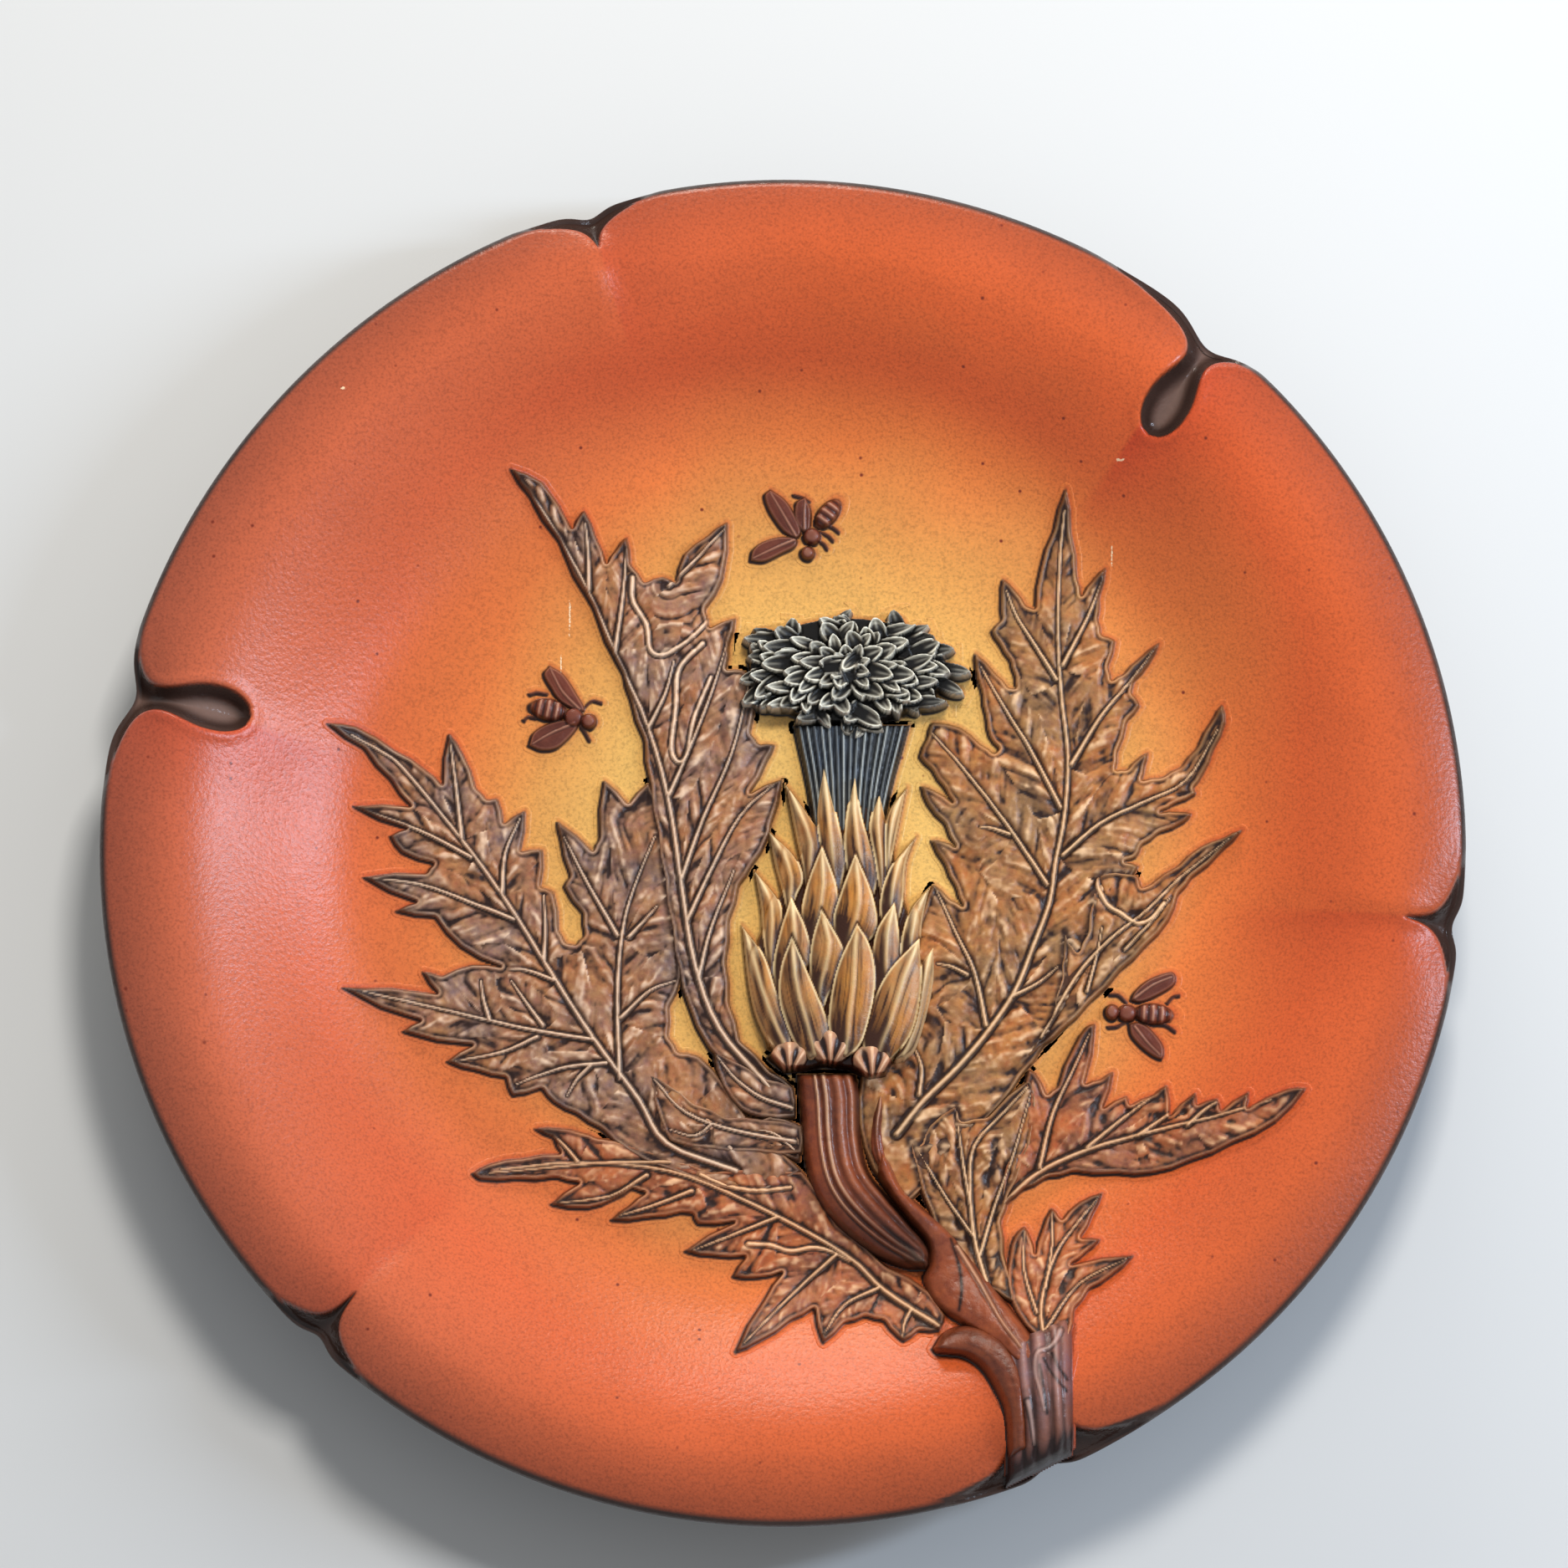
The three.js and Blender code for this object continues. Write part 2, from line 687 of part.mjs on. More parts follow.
function collar() {
  const knobs = knobRise.map((rise, i) => {
    const x = cupMiddle + (i - 1.25) * knobSpacing;
    const y = cupFoot - 0.6 + rise;
    const middle = [-0.5, 0, 0.5].map((share) => [x, y + share * knobLength]);
    return stem(middle, knobHalf, collarHeight);
  });
  return joined(knobs);
}

// The stalk bends from the cup to the sheath beside it, and both run into the trunk, which
// crosses the wall to the rim. A hooked leaf clings to the trunk.
const stalk = {
  middle: [[8, -27.5], [8.2, -40], [11, -48.5], [15.5, -54.5], [22, -60]],
  half: [5.2, 4.8, 4.6, 4.4, 4],
};
const sheath = {
  middle: [[14.5, -38], [15.8, -46], [22, -55], [29, -65], [34, -72]],
  half: [0.8, 1.6, 2.6, 3.4, 4.2],
};
const trunk = {
  middle: [[27, -62], [31.5, -70], [35, -77], [37, -84], [37.8, -91.5]],
  half: [3.8, 4.6, 4.6, 4.6, 4.8],
};
const hook = {
  middle: [[33.5, -87], [32.5, -78], [29, -71], [22, -74]],
  half: [[0, 1.4], [0.35, 2.2], [0.7, 2]],
};

function stems() {
  const hookStations = hook.half.map(([at, half]) => [at, at, half, half]);
  return joined([
    stem(stalk.middle, stalk.half, stalkHeight),
    stem(sheath.middle, sheath.half, sheathHeight),
    stem(trunk.middle, trunk.half, trunkHeight),
    strip(through(hook.middle), hookStations, leafLayer, leafEdge, leafRidge),
  ]);
}

// A bee seen from above: abdomen, thorax and head in line, each with its place ahead of the
// bee's middle, its half length and half width, and its share of the bee's height.
const beeBody = [
  { ahead: -2.4, length: 2.6, width: 1.7, height: 1 },
  { ahead: 0.8, length: 1.5, width: 1.5, height: 0.95 },
  { ahead: 2.8, length: 1, width: 1.3, height: 0.75 },
];
const wingRoot = 0.6;
const wingStations = [[0.05, 0.5], [0.75, 1.5]];

// Each bee has its place, the angle that it heads for, and its wings: the turn of each from
// the head, and its length.
const swarm = [
  { place: [2.8, 50.5], heading: 240, wings: [[-100, 8], [-60, 7.5]] },
  { place: [-32.5, 23.5], heading: -22, wings: [[130, 6.5], [-150, 6.5]] },
  { place: [52.5, -20.5], heading: 178, wings: [[-140, 6.5], [125, 7]] },
];

function bee({ place: [x, y], heading, wings }) {
  const ahead = (distance, turn = 0) => [
    x + distance * Math.cos(radians(heading + turn)),
    y + distance * Math.sin(radians(heading + turn)),
  ];
  const balls = beeBody.map((ball) => {
    const shape = new THREE.SphereGeometry(1, 6, 4);
    shape.scale(ball.length * unit, ball.width * unit, ball.height * beeHeight);
    shape.rotateZ(radians(heading));
    const middle = raised(...ahead(ball.ahead), 0);
    shape.translate(middle.x, middle.y, middle.z);
    return solidOf(shape);
  });
  const spread = wings.map(([turn, length]) =>
    strip(
      through([ahead(wingRoot), ahead(length, turn)]),
      wingStations.map(([at, half]) => [at, at, half, half]),
      0,
      wingEdge,
      wingRidge,
    ),
  );
  return joined([...balls, ...spread]);
}

function hangingHoles() {
  return joined(
    [-1, 1].map((side) => {
      const length = footWidth * 2;
      const drill = new THREE.CylinderGeometry(hangingHoleRadius, hangingHoleRadius, length, drillSides);
      drill.translate(0, footRadius - footWidth / 2, hangingHoleHeight);
      drill.rotateZ(radians((side * hangingHoleSpread) / 2));
      return solidOf(drill);
    }),
  );
}

// The body alone, without the specks of space that crossing folds of relief can shut in.
function largestOf(solid) {
  return solid.decompose().reduce((a, b) => (b.volume() > a.volume() ? b : a));
}

function dish() {
  const flower = [stems(), cup(), neck(), head(), collar()];
  const relief = [...Object.values(leaves).map(leafSolid), ...flower, ...swarm.map(bee)];
  const raisedBody = largestOf(joined([body(), ...foldPartings.map(foldBulge), ...relief]));
  const cuts = [...foldPartings.map(foldCut), ...nickPartings.map(nickCut), hangingHoles()];
  return raisedBody.subtract(joined(cuts));
}

const earthenware = new THREE.MeshStandardMaterial({ color: 0xc4683a, roughness: 0.45, metalness: 0 });

const part = new THREE.Group();
const dishMesh = new THREE.Mesh(geometryOf(dish()), earthenware);
dishMesh.name = "dish";
part.add(dishMesh);

export default part;
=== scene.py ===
import math

import bpy
import numpy as np
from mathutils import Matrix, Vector, noise


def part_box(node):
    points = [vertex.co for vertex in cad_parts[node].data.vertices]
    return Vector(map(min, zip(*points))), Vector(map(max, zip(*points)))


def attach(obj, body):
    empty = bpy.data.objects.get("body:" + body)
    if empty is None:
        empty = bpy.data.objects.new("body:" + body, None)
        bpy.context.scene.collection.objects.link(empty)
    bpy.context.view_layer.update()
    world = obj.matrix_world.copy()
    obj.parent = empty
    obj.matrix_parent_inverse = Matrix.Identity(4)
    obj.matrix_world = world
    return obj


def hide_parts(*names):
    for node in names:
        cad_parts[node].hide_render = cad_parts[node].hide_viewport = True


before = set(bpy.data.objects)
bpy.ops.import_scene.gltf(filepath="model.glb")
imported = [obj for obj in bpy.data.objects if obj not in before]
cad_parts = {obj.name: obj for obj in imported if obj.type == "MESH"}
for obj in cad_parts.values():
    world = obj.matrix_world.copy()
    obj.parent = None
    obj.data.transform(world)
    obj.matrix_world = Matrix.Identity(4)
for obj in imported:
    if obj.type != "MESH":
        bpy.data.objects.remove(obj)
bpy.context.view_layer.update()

# The camera looks down on the lying dish from a little towards the foot of the picture.
mm = 0.001
dish_low, dish_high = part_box("dish")
rim_radius = min(-dish_low[0], dish_high[0], -dish_low[1], dish_high[1]) / mm
rim_height = 36
# The picture's width, how much of it the dish takes up and where its middle lies, in pixels.
picture = 1875
dish_in_picture = 1637
picture_middle = (936, 1005)
picture_pixel = 2 * rim_radius / dish_in_picture
camera_elevation = math.radians(80)
camera_distance = 1.9
sensor = 36
lens = bpy.data.cameras.new("camera")
lens.sensor_width = sensor
lens.lens = sensor * camera_distance / (picture * picture_pixel * mm)
lens.clip_end = 20
camera = bpy.data.objects.new("camera", lens)
bpy.context.collection.objects.link(camera)
towards = Vector((0, -math.cos(camera_elevation), math.sin(camera_elevation)))
up = Vector((0, towards.z, -towards.y))
across = Vector((1, 0, 0))
aim = Vector((0, 0, rim_height * mm))
aim += across * ((picture / 2 - picture_middle[0]) * picture_pixel * mm)
aim += up * ((picture_middle[1] - picture / 2) * picture_pixel * mm)
camera.location = aim + towards * camera_distance
camera.rotation_euler = towards.to_track_quat("Z", "Y").to_euler()
bpy.context.scene.camera = camera
bpy.context.scene.view_settings.view_transform = "Standard"

# The dish's body: a shallow well under a broad rim, one casting of earthenware. The rim is
# parted into six lobes, two partings pressed down as drop-shaped folds and three ending in a
# pointed nick; the face is airbrushed from gold to terracotta, the edge and the back dark brown.
rim_droop = 2.5
edge_thickness = 5
edge_round = 1.6
shoulder_radius = 146
floor_radius = 96
body_thickness = 7
foot_radius = 84
foot_width = 8
foot_height = 6
floor_level = foot_height + body_thickness

# Each parting: its place around the rim in degrees, and how its hollow leans from the radius.
partings = [50, 107, 167, 227, 293, 353]
lobe_step = 1.6
draw_down = 2.2
crease_half_width = 4.2
crease_spread = 14
fold_lean = {50: 6.7, 167: 3.6}
nick_length = {107: 8, 227: 12.3, 353: 11}
fold_length = {50: 26.5, 167: 28.5}
fold_half_width = 5.4
fold_depth = 6.2
nick_depth = 4
# How wide each hollow's mouth flares at the rim, and over what length the flare dies away.
fold_mouth, fold_flare = 9, 2.3
nick_mouth, nick_flare = 9.5, 3.0
trunk_mouth, trunk_flare = 17, 2.4
# How far the edge draws in at a parting, and over how many degrees.
fold_draw_in, fold_draw_angle = 3.4, 2.6
nick_draw_in, nick_draw_angle = 1.9, 1.5
fold_lip = 0.3
nick_lip = 0.1
trunk_parting = 293
trunk_wedge_width = 7
trunk_wedge_reach = 44


def smooth(x, low, high):
    t = np.clip((np.asarray(x, float) - low) / (high - low), 0, 1)
    return t * t * (3 - 2 * t)


def plain_face(radius):
    rise = (rim_height - floor_level) * smooth(radius, floor_radius, shoulder_radius)
    out = np.maximum(0, radius - shoulder_radius) / (rim_radius - shoulder_radius)
    return floor_level + rise - rim_droop * out ** 2


def from_parting(angle):
    """Signed degrees to the nearest parting, and how far along its lobe each angle lies."""
    turns = (angle[:, None] - np.array(partings) + 180) % 360 - 180
    nearest = turns[np.arange(len(angle)), np.abs(turns).argmin(axis=1)]
    spans = np.array([(partings[(k + 1) % 6] - partings[k]) % 360 for k in range(6)])
    past = (angle[:, None] - np.array(partings)) % 360
    k = past.argmin(axis=1)
    return nearest, past[np.arange(len(angle)), k] / spans[k]


def lobe_lift(radius, angle):
    nearest, along = from_parting(angle)
    on_wall = smooth(radius, floor_radius, shoulder_radius)
    half_step = crease_half_width + crease_spread * smooth(radius, shoulder_radius - 4, floor_radius)
    apart = np.abs(nearest) * radius * math.pi / 180
    eased = np.where(apart < half_step, np.sin(np.clip(apart / half_step, 0, 1) * math.pi / 2), 1)
    at_edge = smooth(radius, shoulder_radius - 4, rim_radius)
    return lobe_step * (0.5 - along) * eased * on_wall - draw_down * at_edge * np.exp(-(nearest / 4) ** 2)


def face_at(x, y):
    radius = np.hypot(x, y)
    return plain_face(radius) + lobe_lift(radius, np.degrees(np.arctan2(y, x)))


def distance_to(x, y, path, closed=False):
    """Distance of each place from a path, and the share of the path where it comes nearest."""
    path = np.asarray(path, float)
    ends = np.roll(path, -1, axis=0) if closed else path[1:]
    nearest = np.full(len(x), np.inf)
    share = np.zeros(len(x))
    for k, (a, b) in enumerate(zip(path, ends)):
        run = b - a
        t = np.clip(((x - a[0]) * run[0] + (y - a[1]) * run[1]) / max(run @ run, 1e-9), 0, 1)
        gap = np.hypot(x - a[0] - t * run[0], y - a[1] - t * run[1])
        closer = gap < nearest
        nearest[closer] = gap[closer]
        share[closer] = (k + t[closer]) / len(ends)
    return nearest, share


def depth_inside(x, y, outline):
    """Distance from an outline, positive inside it."""
    outline = np.asarray(outline, float)
    inside = np.zeros(len(x), bool)
    for a, b in zip(outline, np.roll(outline, -1, axis=0)):
        if a[1] == b[1]:
            continue
        spans = (a[1] > y) != (b[1] > y)
        inside ^= spans & (x < a[0] + (y - a[1]) / (b[1] - a[1]) * (b[0] - a[0]))
    return np.where(inside, 1, -1) * distance_to(x, y, outline, closed=True)[0]


def hollow_outline(parting):
    """The dark hollow at a parting, as an outline around its axis from the rim inwards."""
    length = fold_length.get(parting) or nick_length.get(parting) or 8
    u = np.linspace(-5, length, 48)
    out = np.clip(u, 0, None)
    share = out / length
    if parting in fold_length:
        swell = 0.46 + 0.54 * smooth(share, 0.2, 0.68)
        end = np.sqrt(np.clip(1 - (np.clip(share - 0.72, 0, 1) / 0.28) ** 2, 0, 1))
        mouth = fold_mouth * np.exp(-np.clip(u, -2.9, None) / fold_flare) * (1 - share)
        half = fold_half_width * swell * end + mouth
    elif parting == trunk_parting:
        mouth = trunk_mouth * np.exp(-out / trunk_flare) * (1 - share)
        half = 8.5 * np.sqrt(np.clip(1 - share ** 4, 0, 1)) + mouth
    else:
        mouth = nick_mouth * np.exp(-np.clip(u, -2.9, None) / nick_flare) * (1 - share)
        half = mouth + 0.9 * np.sqrt(1 - share)
    start = rim_radius - 2.6
    at = math.radians(parting)
    lean = math.radians(parting + fold_lean.get(parting, 0))
    across = np.array([-math.sin(lean), math.cos(lean)])
    middle = start * np.array([math.cos(at), math.sin(at)]) - u[:, None] * [math.cos(lean), math.sin(lean)]
    return np.vstack([middle + half[:, None] * across, (middle - half[:, None] * across)[::-1]])


def profile():
    """The section from the middle of the face round the edge to the middle of the back."""
    face = [0, 10, 24, 40, 56, 70, 82, 90] + list(np.arange(94.5, 123, 1.8))
    face += list(np.arange(123.5, rim_radius - edge_round, 0.48))
    chain = [(r, float(plain_face(r))) for r in face]
    edge = float(plain_face(rim_radius)) - edge_round
    for turn in (25, 50, 75, 90):
        t = math.radians(turn)
        chain.append((rim_radius - edge_round * (1 - math.sin(t)), edge + edge_round * math.cos(t)))
    chain.append((rim_radius - 0.15, edge - edge_thickness * 0.35))
    chain.append((rim_radius - 1.2, edge - edge_thickness * 0.62))
    for r in [156.5, 153, 149, 145, 141, 137, 133, 129, 125, 121, 117, 112, 107, 101, 95, 90]:
        slope = float(plain_face(r + 0.5) - plain_face(r - 0.5))
        inward = float(smooth(r, rim_radius, floor_radius))
        thick = edge_thickness + (body_thickness - edge_thickness) * inward
        chain.append((r, max(float(plain_face(r)) - thick * math.hypot(1, slope), foot_height)))
    inner = foot_radius - foot_width
    chain += [(foot_radius + 1.5, foot_height), (foot_radius + 0.3, 0.8), (foot_radius - 0.6, 0)]
    chain += [(inner + 0.6, 0), (inner - 0.3, 0.8), (inner - 1.5, foot_height)]
    chain += [(40, foot_height), (0, foot_height)]
    return chain


def deselected():
    if bpy.context.object and bpy.context.object.mode != "OBJECT":
        bpy.ops.object.mode_set(mode="OBJECT")
    bpy.ops.object.select_all(action="DESELECT")


def spun_body(name, chain, sections):
    """The section drawn as a chain of edges and spun about the dish's axis."""
    deselected()
    bpy.ops.mesh.primitive_circle_add(vertices=len(chain), radius=1, fill_type="NOTHING")
    piece = bpy.context.object
    piece.name = piece.data.name = name
    piece.data.vertices.foreach_set("co", np.array([(r * mm, 0, z * mm) for r, z in chain]).ravel())
    bpy.ops.object.mode_set(mode="EDIT")
    bpy.context.tool_settings.mesh_select_mode = (False, True, False)
    bpy.ops.mesh.select_all(action="DESELECT")
    bpy.ops.object.mode_set(mode="OBJECT")
    closing = [set(edge.vertices) == {0, len(chain) - 1} for edge in piece.data.edges]
    piece.data.edges.foreach_set("select", closing)
    bpy.ops.object.mode_set(mode="EDIT")
    bpy.ops.mesh.delete(type="EDGE_FACE")
    bpy.context.tool_settings.mesh_select_mode = (True, False, False)
    bpy.ops.mesh.select_all(action="SELECT")
    bpy.ops.mesh.spin(steps=sections, angle=2 * math.pi, center=(0, 0, 0), axis=(0, 0, 1))
    bpy.ops.mesh.select_all(action="SELECT")
    bpy.ops.mesh.remove_doubles(threshold=1e-6)
    bpy.ops.mesh.normals_make_consistent(inside=False)
    bpy.ops.object.mode_set(mode="OBJECT")
    return piece


def places_of(piece):
    places = np.empty(len(piece.data.vertices) * 3)
    piece.data.vertices.foreach_get("co", places)
    return places.reshape(-1, 3) / mm


def move_to(piece, places):
    piece.data.vertices.foreach_set("co", (places * mm).ravel())
    piece.data.update()


def mark(piece, name, values):
    spot = piece.data.attributes.get(name) or piece.data.attributes.new(name, "FLOAT", "POINT")
    spot.data.foreach_set("value", np.asarray(values, np.float32))


sections = 700
dish_body = spun_body("dish_body", profile(), sections)
places = places_of(dish_body)
radius = np.hypot(places[:, 0], places[:, 1])
chain = np.array(profile())
station = np.hypot(radius[:, None] - chain[:, 0], places[:, 2][:, None] - chain[:, 1]).argmin(axis=1)
face_stations = int(np.argmax(chain[:, 0] > rim_radius - edge_round)) - 1
edge_stations = face_stations + 6
on_face = station <= face_stations + 1
on_foot = chain[station, 1] <= foot_height

# Sections crowd towards the partings, where the folds need them.
turn_steps = np.linspace(0, 360, 3601)
closeness = np.abs((turn_steps[:, None] - np.array(partings) + 180) % 360 - 180).min(axis=1)
density = 1 + 7 * np.exp(-(closeness / 5.6) ** 2)
filled = np.concatenate([[0], np.cumsum((density[1:] + density[:-1]) / 2)])
index = np.round((np.degrees(np.arctan2(places[:, 1], places[:, 0])) % 360) / 360 * sections) % sections
angle = np.interp(index / sections, filled / filled[-1], turn_steps)
angle[radius < 1e-6] = 0

# At a parting the edge draws in a little, more at a fold than at a nick.
nearest, along = from_parting(angle)
draw = np.zeros(len(radius))
for parting in partings:
    off = (angle - parting + 180) % 360 - 180
    deep = fold_draw_in if parting in fold_length else nick_draw_in
    wide = fold_draw_angle if parting in fold_length else nick_draw_angle
    draw += deep * np.exp(-(off / wide) ** 2)
radius = radius - draw * smooth(radius, shoulder_radius, rim_radius)
x = radius * np.cos(np.radians(angle))
y = radius * np.sin(np.radians(angle))
height = chain[station, 1] + np.where(on_foot, 0, lobe_lift(chain[station, 0], angle))

# The hollows: the face rolls over a low lip and drops into them.
dark = np.zeros(len(radius))
lit_hollow_floor = np.zeros(len(radius))
sunk_back = np.zeros(len(radius))
for parting in partings:
    off = np.abs((angle - parting + 180) % 360 - 180)
    close = (off < 16) & (chain[station, 0] > 112)
    inside = depth_inside(x[close], y[close], hollow_outline(parting))
    deep = fold_depth if parting in fold_length else nick_depth
    lip = fold_lip if parting in fold_length else nick_lip
    rolled = np.exp(-((inside + 1.3) / 1.3) ** 2) * lip
    drop = deep * (1 - np.exp(-np.clip(inside + 0.25, 0, None) / (0.3 * deep)))
    edge_lets_go = np.where(on_face[close], 1, 0.45)
    height[close] += np.where(on_face[close], rolled, 0) - drop * edge_lets_go * ~on_foot[close]
    dark[close] = np.maximum(dark[close], smooth(inside, -0.2, 0.25))
    # Painted highlight: the broad inner end of each fold's floor is drawn lighter, as if lit.
    lit_hollow_floor[close] = np.maximum(lit_hollow_floor[close], smooth(inside, 1.8, 4.6) * (parting in fold_length))
    sunk_back[close] = np.maximum(sunk_back[close], deep * smooth(inside, -4, 3))
on_back = (station > edge_stations) & ~on_foot
height[on_back] -= sunk_back[on_back] * smooth(chain[station, 0][on_back], rim_radius, 150) * 0.8
wander = np.array([noise.noise(Vector((a * 9.0, b * 9.0, 0.3))) for a, b in
                   zip(np.cos(np.radians(angle)), np.sin(np.radians(angle)))])
edge_line = smooth(radius + draw * smooth(radius, shoulder_radius, rim_radius) + 0.35 * wander,
                   rim_radius - 1.5, rim_radius - 1.0)
dark = np.maximum(dark, edge_line)
dark[(station > face_stations + 1)] = 1
beside_trunk = np.abs((angle - trunk_parting + 180) % 360 - 180) * rim_radius * math.pi / 180
wedge = trunk_wedge_width * np.clip(1 - beside_trunk / trunk_wedge_reach, 0, 1) ** 1.3
dark = np.maximum(dark, smooth(wedge - (rim_radius - radius), -0.3, 0.3) * on_face)
move_to(dish_body, np.column_stack([x, y, height]))
mark(dish_body, "dark", dark)
mark(dish_body, "lit_hollow_floor", lit_hollow_floor * on_face)

# What the airbrush leaves: a soft redder tint on one side of the crease at each parting, stronger
# or weaker. A broad band of painted shade lies over the top of the well, where its wall faces away from the
# light.
redder = np.zeros(len(radius))
crease_side = {50: -1, 107: -0.45, 167: 0.8, 227: -0.3, 353: -0.5}
for parting, side in crease_side.items():
    off = ((angle - parting + 180) % 360 - 180) * radius * math.pi / 180 * math.copysign(1, side)
    soft = 0.8 + 4 * smooth(radius, 132, 100)
    shade = np.exp(-np.clip(off, 0, None) / 16) * smooth(off, -soft, soft)
    redder = np.maximum(redder, shade * smooth(radius, 92, 126) * abs(side))
# Painted shade: the top of the well's wall, which faces away from the light, is drawn redder.
over_top = smooth(np.abs((angle - 80 + 180) % 360 - 180), 52, 22)
redder = np.maximum(redder, 0.5 * over_top * np.exp(-((radius - 119) / 9) ** 2))
mark(dish_body, "redder", redder)

bpy.context.view_layer.objects.active = dish_body
dish_body.select_set(True)
bpy.ops.object.shade_smooth()


def wired(tree, kind, **values):
    """A node with its sockets set or wired: names with spaces are written with underscores."""
    node = tree.nodes.new(kind)
    for name, value in values.items():
        if hasattr(node, name) and not name[0].isupper():
            setattr(node, name, value)
            continue
        socket = node.inputs[int(name[1:])] if name[0] == "_" else node.inputs[name.replace("_", " ")]
        if isinstance(value, bpy.types.NodeSocket):
            tree.links.new(value, socket)
        else:
            socket.default_value = value
    return node


def blend(tree, share, first, second, how="MIX"):
    node = tree.nodes.new("ShaderNodeMix")
    node.data_type = "RGBA"
    node.blend_type = how
    for socket, value in zip((node.inputs[0], node.inputs[6], node.inputs[7]), (share, first, second)):
        if isinstance(value, bpy.types.NodeSocket):
            tree.links.new(value, socket)
        else:
            socket.default_value = value if isinstance(value, float) else (*value, 1)
    return node.outputs[2]


def reckon(tree, how, *values, clamp=False):
    node = tree.nodes.new("ShaderNodeMath")
    node.operation = how
    node.use_clamp = clamp
    for socket, value in zip(node.inputs, values):
        if isinstance(value, bpy.types.NodeSocket):
            tree.links.new(value, socket)
        else:
            socket.default_value = value
    return node.outputs[0]


def ramp(tree, share, stops):
    node = tree.nodes.new("ShaderNodeValToRGB")
    tree.links.new(share, node.inputs[0])
    band = node.color_ramp
    while len(band.elements) < len(stops):
        band.elements.new(0.5)
    for element, (at, colour) in zip(band.elements, stops):
        element.position = at
        element.color = (*colour, 1) if isinstance(colour, tuple) else (colour, colour, colour, 1)
    return node.outputs[0]


def tint(red, green, blue):
    """A colour as seen on the photograph's scale of 255, as light."""
    seen = [c / 255 for c in (red, green, blue)]
    return tuple(((c + 0.055) / 1.055) ** 2.4 if c > 0.04 else c / 12.92 for c in seen)


def grain(tree, place, scale, detail=2.0, roughness=0.5):
    node = wired(tree, "ShaderNodeTexNoise", Vector=place, Scale=scale, Detail=detail, Roughness=roughness)
    return node.outputs[0]


# Scuffs and small chips, each with its place on the dish and its reach along and across, in metres.
glaze_chips = [((-0.0505, 0.0575), (0.0004, 0.0068)), ((-0.0525, 0.0465), (0.0003, 0.0055)),
               ((-0.1035, 0.108), (0.0013, 0.0005)), ((0.0795, 0.093), (0.0016, 0.0006)),
               ((0.078, 0.072), (0.0003, 0.0036))]


def worn_spots(tree, place, spots):
    """Where the glaze is worn through, ragged at its edges, from 0 to 1."""
    ragged = reckon(tree, "MULTIPLY_ADD", grain(tree, place, 1400.0, 3.0, 0.7), 2.4, -0.75)
    worn = 0.0
    for (at_x, at_y), (long, wide) in spots:
        shifted = wired(tree, "ShaderNodeMapping", Vector=place, vector_type="TEXTURE",
                        Location=(at_x, at_y, 0), Scale=(long, wide, 1))
        out = wired(tree, "ShaderNodeVectorMath", operation="LENGTH", _0=shifted.outputs[0]).outputs["Value"]
        spot = wired(tree, "ShaderNodeMapRange", Value=reckon(tree, "ADD", out, ragged), From_Min=1.0,
                     From_Max=0.8).outputs[0]
        worn = reckon(tree, "MAXIMUM", spot, worn)
    return worn


# The airbrushed glaze as a group, because the relief is laid into the same glaze. Its gold lies
# round the flower, a little off the middle of the dish. It also paints a pink sheen over the left of the
# outer face.
gold_middle = (0.012, 0.002)
gold_flattening = 0.93
airbrush_reach = 0.17
glaze_group = bpy.data.node_groups.new("airbrushed_glaze_with_painted_light", "ShaderNodeTree")
glaze_group.interface.new_socket("Redder", in_out="INPUT", socket_type="NodeSocketFloat")
glaze_group.interface.new_socket("Colour", in_out="OUTPUT", socket_type="NodeSocketColor")
glaze_group.interface.new_socket("Grain", in_out="OUTPUT", socket_type="NodeSocketFloat")
tree = glaze_group
given = tree.nodes.new("NodeGroupInput")
place = wired(tree, "ShaderNodeTexCoord").outputs["Object"]
drift = reckon(tree, "MULTIPLY_ADD", grain(tree, place, 14.0), 0.034, -0.017)
flower = wired(tree, "ShaderNodeMapping", Vector=place, Location=(-gold_middle[0], -gold_middle[1], 0),
               Scale=(1, gold_flattening, 0))
reach = wired(tree, "ShaderNodeVectorMath", operation="LENGTH", _0=flower.outputs[0]).outputs["Value"]
reach = reckon(tree, "ADD", reach, drift)
reach = reckon(tree, "DIVIDE", reach, airbrush_reach, clamp=True)
airbrush = ramp(tree, reach, [
    (0.0, tint(230, 186, 106)), (0.3, tint(226, 176, 96)), (0.43, tint(216, 148, 76)),
    (0.56, tint(218, 116, 55)), (0.7, tint(212, 94, 45)), (0.86, tint(200, 92, 48)), (1.0, tint(180, 86, 52)),
])
sides = wired(tree, "ShaderNodeSeparateXYZ", Vector=place)
# Painted sheen: towards the left the outer face is tinted pink, as the glaze there mirrors light from the
# right.
to_left = reckon(tree, "MULTIPLY_ADD", sides.outputs[0], -7.0, 0.1, clamp=True)
left_sheen = blend(tree, reckon(tree, "MULTIPLY", to_left, 0.28), airbrush, tint(196, 112, 90))
off_centre = wired(tree, "ShaderNodeVectorMath", operation="LENGTH", _0=place).outputs["Value"]
outer = wired(tree, "ShaderNodeMapRange", Value=off_centre, From_Min=0.07, From_Max=0.11).outputs[0]
left_sheen = blend(tree, outer, airbrush, left_sheen)
red_share = reckon(tree, "MULTIPLY", given.outputs[0], 0.8)
reddened = blend(tree, red_share, left_sheen, tint(186, 58, 30))
rim_smoke = wired(tree, "ShaderNodeMapRange", Value=off_centre, From_Min=0.146, From_Max=0.164,
                  To_Max=0.6).outputs[0]
